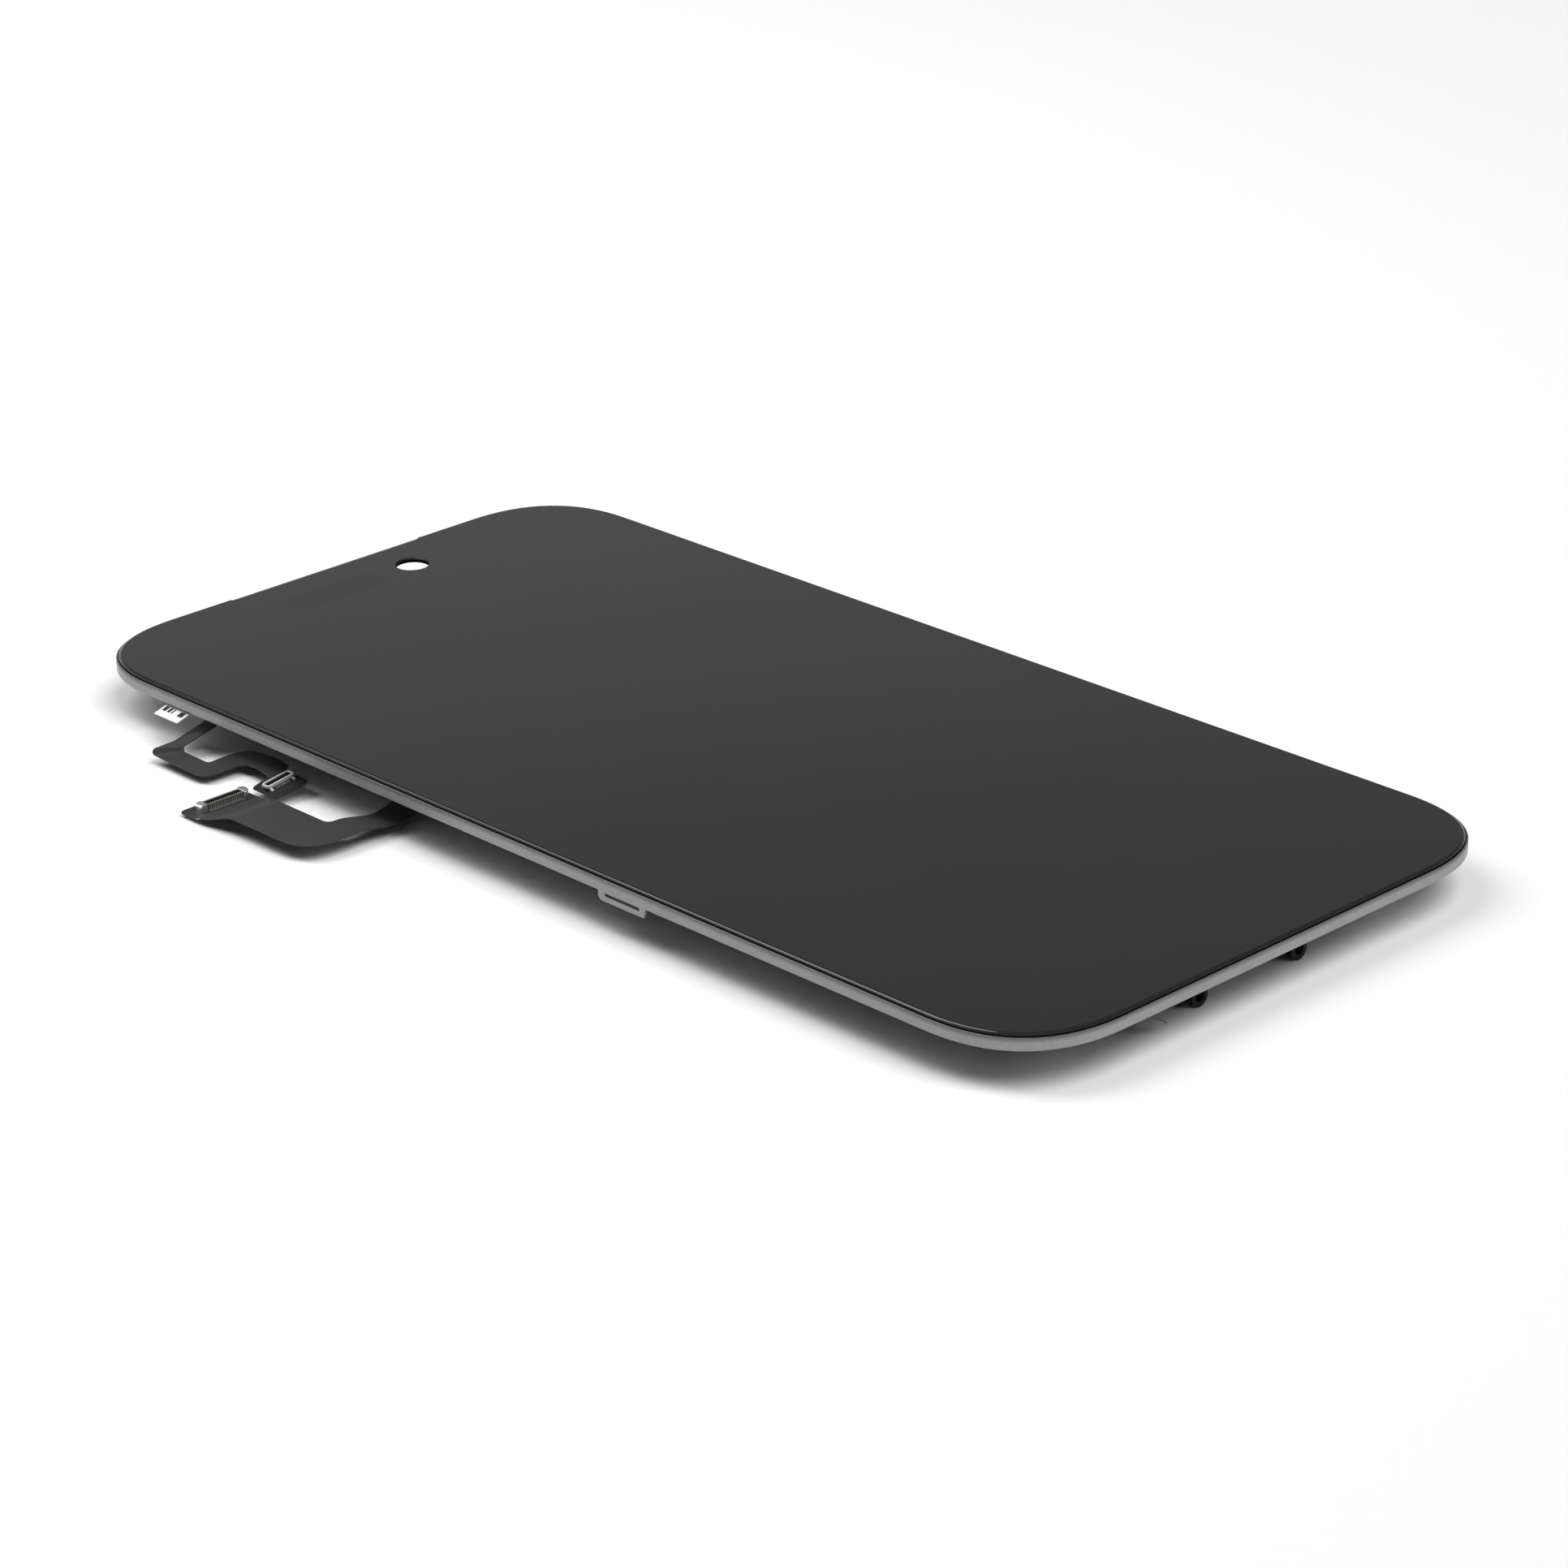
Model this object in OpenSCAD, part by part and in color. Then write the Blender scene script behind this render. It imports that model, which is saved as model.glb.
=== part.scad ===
// Screen assembly for a phone: cover glass, liquid-crystal panel with its backlight, bezel frame
// with clips, a black bracket with two screw lugs, two top hooks and two flexible tails that end
// in board connectors. Units are millimetres. The origin is the centre of the front glass face,
// +Z looks out of the screen and +Y points to the end with the camera hole.

/* [Screen outline] */
// Width over the bezel frame
screen_w = 70; // [60:0.5:80]
// Length over the bezel frame
screen_l = 144; // [130:0.5:165]
// How far each corner's curve reaches along an edge
corner_r = 13.7; // [9:0.1:16]
// Squareness of the corner curve, where 2 is a circle
corner_power = 2.49; // [2:0.01:3]

/* [Cover glass] */
// Thickness of the cover glass
glass_t = 0.55; // [0.4:0.05:0.8]
// Distance from the frame's outer wall to the glass edge
glass_inset = 0.25; // [0.2:0.01:0.5]
// Radius of the rounded upper edge of the glass
glass_edge_r = 0.25; // [0.1:0.01:0.35]
// Width of the shallow sound notch in the glass's upper end
sound_notch_w = 27; // [20:0.5:34]
// Depth of the sound notch
sound_notch_d = 0.3; // [0.1:0.05:0.6]

/* [Camera hole] */
// Distance of the camera hole from the middle line
camera_x = 7.6; // [5:0.1:10]
// Distance of the camera hole from the upper end of the frame
camera_from_end = 6.7; // [5:0.1:8]
// Diameter of the camera hole
camera_d = 3.8; // [3:0.1:4.5]
// Width of the bevel round the camera hole
camera_bevel = 0.15; // [0.05:0.01:0.25]

/* [Bezel frame] */
// Height of the glass above the frame's lip
lip_drop = 0.35; // [0.25:0.01:0.45]
// Height of the frame's outer band
band_h = 1.33; // [1:0.01:1.6]
// Width of the frame from its outer wall to its opening
frame_rim = 2; // [1.6:0.1:2.6]
// Gap between the glass edge and the frame's lip
glass_gap = 0.05; // [0.03:0.01:0.12]
// Thickness of the adhesive between glass and frame
bond_t = 0.1; // [0.05:0.01:0.2]

/* [Side clips] */
// Place of the side clips along the screen
clip_y = -17.55; // [-40:0.05:10]
// Width of a side clip at the frame
clip_w = 7; // [5:0.1:10]
// How far a side clip drops below the frame
clip_drop = 1; // [0.8:0.05:1.6]
// Thickness of a side clip
clip_t = 0.35; // [0.25:0.01:0.5]
// Width of the slot in a side clip
clip_slot_w = 5; // [3:0.1:6]
// Height of the slot in a side clip
clip_slot_h = 0.35; // [0.2:0.01:0.5]
// Height of solid clip above the slot
clip_slot_drop = 0.08; // [0.05:0.01:0.2]

/* [Panel layers] */
// Gap between the panel and the frame's opening
panel_gap = 0.15; // [0.1:0.01:0.3]
// Room for the folded circuit at the lower end
fold_room = 1.4; // [1.2:0.05:2]
// Thickness of the clear adhesive behind the glass
clear_glue_t = 0.15; // [0.1:0.01:0.25]
// Thickness of each polarizer
polarizer_t = 0.12; // [0.08:0.01:0.2]
// Thickness of the colour filter glass
filter_glass_t = 0.2; // [0.15:0.01:0.3]
// Thickness of the transistor glass
cell_glass_t = 0.2; // [0.15:0.01:0.3]
// Width of the bare ledge at the lower end of the transistor glass
ledge_w = 3.2; // [3:0.1:5]
// Thickness of the prism film
prism_t = 0.12; // [0.08:0.01:0.2]
// Thickness of the diffuser film
diffuser_t = 0.1; // [0.05:0.01:0.15]
// Thickness of the light guide
guide_t = 0.4; // [0.35:0.01:0.6]
// Thickness of the reflector film
reflector_t = 0.08; // [0.05:0.01:0.12]
// Thickness of the metal back plate
back_t = 0.2; // [0.15:0.01:0.3]
// Width of the backlight's plastic rim
light_rim_w = 0.8; // [0.6:0.05:1.2]
// Gap between the backlight's rim and the films in it
film_gap = 0.1; // [0.05:0.01:0.2]

/* [Sensor bay] */
// Width of the bay that the panel leaves for camera and sensors
bay_w = 27; // [26:0.5:32]
// Length of the bay from the upper end of the frame
bay_l = 10.6; // [10:0.1:14]
// Radius of the bay's inner corners
bay_r = 2; // [1:0.1:3]

/* [Driver and lamps] */
// Length of the driver chip
chip_l = 22; // [16:0.5:28]
// Width of the driver chip
chip_w = 1; // [0.8:0.05:1.2]
// Thickness of the driver chip
chip_t = 0.22; // [0.15:0.01:0.25]
// Number of lamps at the light guide's lower edge
lamp_count = 11; // [8:1:14]
// Length of one lamp
lamp_l = 2; // [1.5:0.1:2.5]
// Width of one lamp
lamp_w = 0.8; // [0.6:0.05:1]
// Distance between lamps
lamp_pitch = 4; // [3:0.1:4.5]
// Thickness of the strip that carries the lamps
strip_t = 0.08; // [0.05:0.01:0.1]

/* [Lug bracket] */
// Distance between the two screw lugs
lug_spacing = 14.3; // [12:0.1:18]
// Width of a screw lug
lug_w = 2.2; // [2:0.1:3]
// Thickness of the bracket's sheet
lug_t = 0.5; // [0.4:0.05:0.7]
// Distance of a lug's outer face from the lower end of the frame
lug_from_end = 4; // [4:0.05:5]
// Radius of a lug's screw hole
lug_hole_r = 0.6; // [0.4:0.05:0.7]
// Length of the threaded collar behind a lug
collar_l = 0.8; // [0.5:0.05:1.2]
// Wall of the threaded collar
collar_wall = 0.35; // [0.25:0.01:0.5]
// Length of the bracket's deep middle part
bracket_l = 24; // [18:0.5:28]
// Depth of the bracket's middle part
bracket_w = 4; // [3.2:0.1:6]
// Depth of the bracket's wings and feet
wing_w = 2.8; // [2:0.1:3.2]
// Width of each foot of the bracket
bracket_foot = 3; // [2:0.1:4]
// Gap between the folded circuit and each foot of the bracket
foot_gap = 1; // [0.5:0.1:2]

/* [Top hooks] */
// Distance of each top hook from the middle line
hook_x = 20; // [17:0.5:24]
// Width of a top hook
hook_w = 5; // [3:0.5:7]
// Thickness of a top hook
hook_t = 0.4; // [0.3:0.05:0.6]
// Reach of a top hook's lip
hook_lip = 0.7; // [0.4:0.05:1]
// Height of the glass face above the surface that the screen lies on
stand_h = 6; // [5.5:0.05:7]

/* [Flexible circuits] */
// Thickness of a flexible circuit
flex_t = 0.12; // [0.08:0.01:0.16]
// Width of the display circuit where it folds round the panel
fold_w = 24; // [18:0.5:25]
// Width of the display circuit on its way up the back
riser_w = 6; // [4:0.5:8]
// Distance of the display circuit's way up from the frame's side
riser_from_side = 10; // [6:0.5:12]
// Thickness of the tape over the fold
tape_t = 0.06; // [0.04:0.01:0.1]
// Thickness of the stiffeners under the connectors
stiffener_t = 0.2; // [0.1:0.01:0.25]

/* [Board connectors] */
// Length of the display connector
display_plug_l = 6.1; // [5:0.1:8]
// Width of the display connector
display_plug_w = 1; // [0.9:0.1:1.6]
// Height of the display connector
display_plug_h = 0.75; // [0.5:0.05:1]
// Length of the touch connector
touch_plug_l = 3.5; // [3:0.1:5]
// Width of the touch connector
touch_plug_w = 1; // [0.9:0.1:1.6]
// Height of the touch connector
touch_plug_h = 0.45; // [0.4:0.05:0.7]
// Distance between contacts
contact_pitch = 0.25; // [0.2:0.01:0.4]
// Width of one contact
contact_w = 0.12; // [0.08:0.01:0.16]
// Length of one contact's foot
contact_l = 0.4; // [0.2:0.05:0.6]
// Thickness of the connectors' metal
plug_metal_t = 0.12; // [0.08:0.01:0.2]

/* [Label and film end] */
// Width of the paper label along the screen
label_w = 4; // [3:0.1:6]
// Distance of the label from the upper end of the frame
label_from_end = 18.2; // [16:0.1:24]
// How far the label stands out past the frame
label_out = 1.5; // [1:0.1:3]
// Slope of the label's free part in degrees
label_slope = 16; // [10:1:25]
// Thickness of the label
label_t = 0.12; // [0.08:0.01:0.2]
// Thickness of the loose film end under the lower end
film_end_t = 0.1; // [0.05:0.01:0.15]

/* [Hidden] */

$fn = 48;
// Length added to a cutting shape so that it passes right through
past = 1;
// Points of each corner of the outline, each round plug corner and each rounded edge
corner_steps = 12;
bevel_steps = 3;

// Levels, from the glass face down
glass_low = -glass_t;
lip_top = -lip_drop;
shelf_top = glass_low - bond_t;
band_low = lip_top - band_h;
clear_glue_low = glass_low - clear_glue_t;
front_polarizer_low = clear_glue_low - polarizer_t;
filter_glass_low = front_polarizer_low - filter_glass_t;
cell_glass_low = filter_glass_low - cell_glass_t;
rear_polarizer_low = cell_glass_low - polarizer_t;
prism_low = rear_polarizer_low - prism_t;
diffuser_low = prism_low - diffuser_t;
guide_low = diffuser_low - guide_t;
reflector_low = guide_low - reflector_t;
back_low = reflector_low - back_t;
flex_low = back_low - flex_t;
tape_low = flex_low - tape_t;
stand_low = -stand_h;

// Plan places
half_w = screen_w / 2;
half_l = screen_l / 2;
camera_y = half_l - camera_from_end;
panel_inset = frame_rim + panel_gap;
panel_foot = frame_rim + fold_room;
panel_end = panel_foot - half_l;
lamp_gap = 0.1;
lamp_row_w = lamp_w + 2 * lamp_gap;
lamp_foot = panel_end + back_t + light_rim_w + lamp_gap;
chip_foot = panel_end + ledge_w / 2;
fold_r = (filter_glass_low - flex_low) / 2;
fold_z = (filter_glass_low + flex_low + flex_t) / 2;
lug_face = lug_from_end - half_l;
foot_x = fold_w / 2 + foot_gap;
side_x = -half_w;
label_y = half_l - label_from_end;

// A quarter of a squared circle, as factors from 0 to 1 at the angle a
function round_x(a, power) = pow(cos(a), 2 / power);
function round_y(a, power) = pow(sin(a), 2 / power);

// Closed outline of a rectangle with curved corners, counter-clockwise from the right side
function rounded(hw, hl, r, power, steps) = [
    for (q = [[1, 1, 0], [-1, 1, 1], [-1, -1, 0], [1, -1, 1]])
        for (i = [0 : steps])
            let (a = 90 * (q[2] == 0 ? i : steps - i) / steps)
            [q[0] * (hw - r + r * round_x(a, power)), q[1] * (hl - r + r * round_y(a, power))]
];

// Outline of the screen moved in from the frame's outer wall
function screen_outline(inset) =
    rounded(half_w - inset, half_l - inset, corner_r - inset, corner_power, corner_steps);

// A flat plate with the screen's outline, from a top level down by its thickness
module screen_plate(inset, top, t) {
    translate([0, 0, top - t])
        linear_extrude(t)
            polygon(screen_outline(inset));
}

// A solid between rings of points that all have the same count
module loft(rings) {
    n = len(rings[0]);
    last = len(rings) - 1;
    points = [for (ring = rings) each ring];
    sides = [
        for (k = [0 : last - 1])
            for (i = [0 : n - 1])
                let (j = (i + 1) % n, a = k * n, b = (k + 1) * n)
                each [[a + i, b + j, a + j], [a + i, b + i, b + j]]
    ];
    bottom = [[for (i = [0 : n - 1]) i]];
    top = [[for (i = [n - 1 : -1 : 0]) last * n + i]];
    polyhedron(points, concat(bottom, sides, top));
}

// The bay for camera and sensors, open at the upper end and grown by a margin
module bay_cut(grow, top, t) {
    w = bay_w + 2 * grow;
    l = bay_l + grow + bay_r + past;
    translate([0, half_l + bay_r + past - l / 2, top - t - past])
        linear_extrude(t + 2 * past)
            polygon(rounded(w / 2, l / 2, bay_r, 2, corner_steps));
}

// A plate with the panel's outline, its bay and its short lower end
module panel_plate(inset, foot, top, t) {
    difference() {
        screen_plate(panel_inset + inset, top, t);
        bay_cut(inset, top, t);
        translate([-half_w, -half_l, top - t - past])
            cube([screen_w, panel_foot + foot, t + 2 * past]);
    }
}

module cover_glass() {
    edge = [
        for (i = [0 : bevel_steps])
            let (a = 90 * i / bevel_steps)
            [glass_inset + glass_edge_r * (1 - cos(a)), glass_edge_r * (sin(a) - 1)]
    ];
    levels = concat([[glass_inset, glass_low]], edge);
    color([0.03, 0.03, 0.035])
        difference() {
            loft([
                for (e = levels)
                    [for (p = screen_outline(e[0])) [p.x, p.y, e[1]]]
            ]);
            translate([camera_x, camera_y, glass_low - past])
                cylinder(h = glass_t + 2 * past, d = camera_d);
            translate([camera_x, camera_y, -camera_bevel])
                cylinder(h = 2 * camera_bevel, d1 = camera_d, d2 = camera_d + 4 * camera_bevel);
            translate([-sound_notch_w / 2, half_l - glass_inset - sound_notch_d, glass_low - past])
                cube([sound_notch_w, sound_notch_d + past, glass_t + 2 * past]);
        }
}

module glass_adhesive() {
    color([0.06, 0.06, 0.06])
        difference() {
            screen_plate(glass_inset + sound_notch_d, glass_low, bond_t);
            screen_plate(frame_rim, glass_low + past, bond_t + 2 * past);
        }
}

// One side clip with its slot, seen along X and standing on the frame's outer wall
module side_clip() {
    taper = clip_t;
    w = clip_w / 2;
    slot_top = band_low - clip_slot_drop;
    difference() {
        rotate([90, 0, 90])
            linear_extrude(clip_t)
                polygon([
                    [w, band_low],
                    [-w, band_low],
                    [taper - w, band_low - clip_drop],
                    [w - 2 * taper, band_low - clip_drop],
                    [w - taper, band_low - clip_drop + taper]
                ]);
        translate([-past, -clip_slot_w / 2, slot_top - clip_slot_h])
            cube([clip_t + 2 * past, clip_slot_w, clip_slot_h]);
    }
}

module bezel_frame() {
    color([0.55, 0.55, 0.56]) {
        difference() {
            screen_plate(0, lip_top, band_h);
            screen_plate(glass_inset - glass_gap, lip_top + past, lip_top - shelf_top + past);
            screen_plate(frame_rim, lip_top + past, band_h + 2 * past);
        }
        translate([-half_w, clip_y, 0])
            side_clip();
        translate([half_w, clip_y, 0])
            mirror([1, 0, 0])
                side_clip();
    }
}

module clear_adhesive() {
    color([0.8, 0.82, 0.82])
        panel_plate(0, ledge_w, glass_low, clear_glue_t);
}

module front_polarizer() {
    color([0.12, 0.12, 0.13])
        panel_plate(0, ledge_w, clear_glue_low, polarizer_t);
}

module filter_glass() {
    color([0.3, 0.33, 0.32])
        panel_plate(0, ledge_w, front_polarizer_low, filter_glass_t);
}

module cell_glass() {
    color([0.38, 0.42, 0.4])
        panel_plate(0, 0, filter_glass_low, cell_glass_t);
}

module driver_chip() {
    color([0.15, 0.15, 0.16])
        translate([-chip_l / 2, chip_foot, filter_glass_low])
            cube([chip_l, chip_w, chip_t]);
}

module rear_polarizer() {
    color([0.14, 0.14, 0.15])
        panel_plate(0, 0, cell_glass_low, polarizer_t);
}

// A film or guide plate that lies inside the backlight's rim and ends above the lamps
module light_layer(top, t, foot) {
    panel_plate(back_t + light_rim_w + film_gap, foot, top, t);
}

module prism_film() {
    color([0.86, 0.88, 0.9])
        light_layer(rear_polarizer_low, prism_t, back_t + light_rim_w + film_gap);
}

module diffuser_film() {
    color([0.93, 0.93, 0.93])
        light_layer(prism_low, diffuser_t, back_t + light_rim_w + film_gap);
}

module light_guide() {
    color([0.88, 0.92, 0.93])
        light_layer(diffuser_low, guide_t, back_t + light_rim_w + lamp_row_w);
}

module reflector_film() {
    color([0.92, 0.92, 0.92])
        light_layer(guide_low, reflector_t, back_t + light_rim_w + film_gap);
}

module lamp_strip() {
    color([0.75, 0.55, 0.25])
        translate([-lamp_pitch * lamp_count / 2, lamp_foot - lamp_gap / 2, guide_low])
            cube([lamp_pitch * lamp_count, lamp_row_w - lamp_gap, strip_t]);
}

module lamps() {
    color([0.95, 0.9, 0.6])
        for (i = [0 : lamp_count - 1])
            translate([lamp_pitch * (i - (lamp_count - 1) / 2) - lamp_l / 2, lamp_foot, guide_low + strip_t])
                cube([lamp_l, lamp_w, guide_t - strip_t]);
}

module light_rim() {
    color([0.9, 0.9, 0.88])
        difference() {
            panel_plate(back_t, back_t, rear_polarizer_low, rear_polarizer_low - reflector_low);
            panel_plate(back_t + light_rim_w, back_t + light_rim_w, rear_polarizer_low + past,
                rear_polarizer_low - reflector_low + 2 * past);
        }
}

module back_plate() {
    color([0.62, 0.63, 0.64])
        difference() {
            panel_plate(0, 0, rear_polarizer_low, rear_polarizer_low - back_low);
            panel_plate(back_t, back_t, rear_polarizer_low + past, rear_polarizer_low - reflector_low + past);
        }
}

// A value between a and b
function mix(a, b, t) = a + (b - a) * t;
// A step from 0 to 1 that starts and ends level
function ease(t) = t * t * (3 - 2 * t);

// A gate is the left and right edge point of a circuit, as seen along its way.
// Gates of a stretch from gate g to gate h, without the last one. Its height follows an eased step,
// or a power of the way where one is given.
function stretch(g, h, n, power = 0) = [
    for (i = [0 : n - 1])
        let (t = i / n, e = power == 0 ? ease(t) : pow(t, power))
        [for (k = [0, 1]) [mix(g[k].x, h[k].x, t), mix(g[k].y, h[k].y, t), mix(g[k].z, h[k].z, e)]]
];

// Gates of a square turn round the centre c of its inner fillet. The outer corner is a squared
// quarter circle between the widths of the two legs, which lie at the directions d and e from c.
function turn(c, r, wd, we, d, e, zd, ze, power, inner_left, n) = [
    for (i = [0 : n])
        let (
            a = 90 * i / n,
            z = mix(zd, ze, i / n),
            o = c + (r + wd) * round_x(a, power) * d + (r + we) * round_y(a, power) * e,
            q = c + r * cos(a) * d + r * sin(a) * e
        )
        inner_left ? [[q.x, q.y, z], [o.x, o.y, z]] : [[o.x, o.y, z], [q.x, q.y, z]]
];

// Gates of the rounded end of a head that starts at the gate g and runs on by its corner radius
function round_end(g, r, way, n) = [
    for (i = [0 : n])
        let (
            a = 90 * i / n,
            across = (g[1] - g[0]) / norm(g[1] - g[0]),
            on = r * sin(a) * way,
            in = r * (1 - cos(a)) * across
        )
        [g[0] + on + in, g[1] + on - in]
];

// A gate across y at x on the back plate, inside a circuit's flat part, so that the free tail grows
// out of it
tail_lap = 1;
function flat_gate(x, y) = [[x, y[0], back_low], [x, y[1], back_low]];

// A thin sheet through gates, with its upper face on them
module sheet(gates, t) {
    n = len(gates);
    down = [0, 0, -t];
    points = [for (g = gates) each [g[0], g[1], g[1] + down, g[0] + down]];
    sides = [
        for (i = [0 : n - 2])
            for (k = [0 : 3])
                let (a = 4 * i + k, b = 4 * i + (k + 1) % 4)
                each [[a, b + 4, b], [a, a + 4, b + 4]]
    ];
    last = 4 * (n - 1);
    ends = [[0, 1, 2, 3], [last + 3, last + 2, last + 1, last]];
    polyhedron(points, concat(sides, ends));
}

// Places of the display circuit's free tail. It leaves the back plate at the screen's side, dips,
// turns towards the upper end and dips again to its head.
riser_edge = side_x + riser_from_side;
tail_y = [half_l - 53.5, half_l - 49.2];
tail_x = [side_x - 11, side_x - 4.7];
tail_fillet = 1;
tail_corner_power = 2.6;
tail_dip = [side_x + 1.6, -4.85, -5.05];
tail_crest_z = -4.1;
tail_rest_y = half_l - 42;
head_x = [side_x - 11.7, side_x - 3.5];
head_y = [half_l - 37.4, half_l - 33.6];
head_lift = 0.18;
head_z = stand_low + head_lift + stiffener_t + flex_t;
head_r = 0.7;

tail_gates = concat(
    [flat_gate(riser_edge + tail_lap, tail_y)],
    stretch(
        flat_gate(riser_edge, tail_y),
        [[tail_dip[0], tail_y[0], tail_dip[1]], [tail_dip[0], tail_y[1], tail_dip[2]]],
        12),
    stretch(
        [[tail_dip[0], tail_y[0], tail_dip[1]], [tail_dip[0], tail_y[1], tail_dip[2]]],
        [
            [tail_x[1] + tail_fillet, tail_y[0], tail_crest_z],
            [tail_x[1] + tail_fillet, tail_y[1], tail_crest_z]
        ],
        6),
    turn([tail_x[1] + tail_fillet, tail_y[1] + tail_fillet], tail_fillet,
        tail_y[1] - tail_y[0], tail_x[1] - tail_x[0],
        [0, -1], [-1, 0], tail_crest_z, tail_crest_z, tail_corner_power, false, 10),
    stretch(
        [[tail_x[0], tail_rest_y, tail_crest_z], [tail_x[1], tail_rest_y, tail_crest_z]],
        [[head_x[0], head_y[0], head_z], [head_x[1], head_y[0], head_z]],
        8),
    [[[head_x[0], head_y[0], head_z], [head_x[1], head_y[0], head_z]]],
    round_end(
        [[head_x[0], head_y[1] - head_r, head_z], [head_x[1], head_y[1] - head_r, head_z]],
        head_r, [0, 1, 0], 4)
);

// The display circuit is bonded on the transistor glass, folds round the panel's lower end, lies
// flat on the back plate and leaves it as the free tail.
shoulder_gap = 0.9;
flex_shoulder = lug_face + bracket_w - panel_end + shoulder_gap;
flex_slant = 5;

module display_flex() {
    color([0.1, 0.1, 0.1]) {
        translate([-fold_w / 2, panel_end, filter_glass_low])
            cube([fold_w, ledge_w / 2 - flex_t, flex_t]);
        translate([-fold_w / 2, panel_end, fold_z])
            rotate([0, 90, 0])
                difference() {
                    cylinder(h = fold_w, r = fold_r + flex_t / 2);
                    translate([0, 0, -past])
                        cylinder(h = fold_w + 2 * past, r = fold_r - flex_t / 2);
                    translate([-2 * fold_r, 0, -past])
                        cube([4 * fold_r, 2 * fold_r, fold_w + 2 * past]);
                }
        translate([0, 0, flex_low])
            linear_extrude(flex_t)
                polygon([
                    [fold_w / 2, panel_end],
                    [fold_w / 2, panel_end + flex_shoulder + flex_slant],
                    [riser_edge + riser_w, panel_end + flex_shoulder + 2 * flex_slant],
                    [riser_edge + riser_w, tail_y[1]],
                    [riser_edge, tail_y[1]],
                    [riser_edge, panel_end + flex_shoulder + flex_slant],
                    [-fold_w / 2, panel_end + flex_shoulder],
                    [-fold_w / 2, panel_end]
                ]);
        sheet(tail_gates, flex_t);
    }
}

module fold_tape() {
    color([0.05, 0.05, 0.05])
        translate([-fold_w / 2, panel_end + flex_t, tape_low])
            cube([fold_w, flex_shoulder, tape_t]);
}

// Places of the touch circuit's tail: out of the back plate, two turns to the left that bring it
// back under the screen, one to the right and a tilted head.
touch_pad_x = [side_x + 7, side_x + 16];
touch_pad_y = [half_l - 25.4, half_l - 17.4];
touch_y = [half_l - 22.3, half_l - 20.4];
touch_bend = [side_x + 4, -2.75];
touch_bend_power = 1.5;
touch_down_x = [side_x - 5.2, side_x - 2.4];
touch_down_z = [-4.15, -4.8, -4.9, -4.85];
touch_back_y = [half_l - 29.6, half_l - 26.6];
touch_neck_x = [side_x - 0.4, side_x + 2.8];
touch_neck_z = [-4.55, -4.35];
touch_neck_y = [half_l - 32.4, half_l - 34.7];
touch_head_x = [side_x - 3.3, side_x + 2.5];
touch_head_y = [half_l - 39.4, half_l - 35.1];
touch_head_step = 0.3;
touch_head_r = 0.8;
touch_tilt = 8;
touch_plug_at = [side_x - 0.95, half_l - 36.8, -4.66];
touch_fillet = [0.3, 1, 0.6];
touch_corner_power = [5, 3.2, 2.6];

// Height of the tilted head at x
function touch_head_z(x) = touch_plug_at.z + (x - touch_plug_at.x) * tan(touch_tilt);
function touch_head_gate(y, grow) = [
    [touch_head_x[1] + grow, y, touch_head_z(touch_head_x[1] + grow)],
    [touch_head_x[0] - grow, y, touch_head_z(touch_head_x[0] - grow)]
];

touch_gates = concat(
    [flat_gate(touch_pad_x[0] + tail_lap, touch_y)],
    stretch(
        flat_gate(touch_pad_x[0], touch_y),
        [[touch_bend[0], touch_y[0], touch_bend[1]], [touch_bend[0], touch_y[1], touch_bend[1]]],
        4, touch_bend_power),
    stretch(
        [[touch_bend[0], touch_y[0], touch_bend[1]], [touch_bend[0], touch_y[1], touch_bend[1]]],
        [
            [touch_down_x[1] + touch_fillet[0], touch_y[0], touch_down_z[0]],
            [touch_down_x[1] + touch_fillet[0], touch_y[1], touch_down_z[0]]
        ],
        4, 1),
    turn([touch_down_x[1] + touch_fillet[0], touch_y[0] - touch_fillet[0]], touch_fillet[0],
        touch_y[1] - touch_y[0], touch_down_x[1] - touch_down_x[0],
        [0, 1], [-1, 0], touch_down_z[0], touch_down_z[1], touch_corner_power[0], true, 6),
    turn([touch_down_x[1] + touch_fillet[1], touch_back_y[1] + touch_fillet[1]], touch_fillet[1],
        touch_down_x[1] - touch_down_x[0], touch_back_y[1] - touch_back_y[0],
        [-1, 0], [0, -1], touch_down_z[2], touch_down_z[2], touch_corner_power[1], true, 6),
    turn([touch_neck_x[0] - touch_fillet[2], touch_back_y[0] - touch_fillet[2]], touch_fillet[2],
        touch_back_y[1] - touch_back_y[0], touch_neck_x[1] - touch_neck_x[0],
        [0, 1], [1, 0], touch_down_z[3], touch_neck_z[0], touch_corner_power[2], false, 6),
    stretch(
        [
            [touch_neck_x[1], touch_neck_y[0], touch_neck_z[1]],
            [touch_neck_x[0], touch_neck_y[0], touch_neck_z[1]]
        ],
        [
            [touch_neck_x[1], touch_neck_y[1], touch_head_z(touch_neck_x[1])],
            [touch_neck_x[0], touch_neck_y[1], touch_head_z(touch_neck_x[0])]
        ],
        3),
    [
        [
            [touch_neck_x[1], touch_neck_y[1], touch_head_z(touch_neck_x[1])],
            [touch_neck_x[0], touch_neck_y[1], touch_head_z(touch_neck_x[0])]
        ],
        touch_head_gate(touch_head_y[1], -touch_head_step),
        touch_head_gate(touch_head_y[1] - touch_head_step, 0)
    ],
    round_end(touch_head_gate(touch_head_y[0] + touch_head_r, 0), touch_head_r, [0, -1, 0], 4)
);

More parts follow.
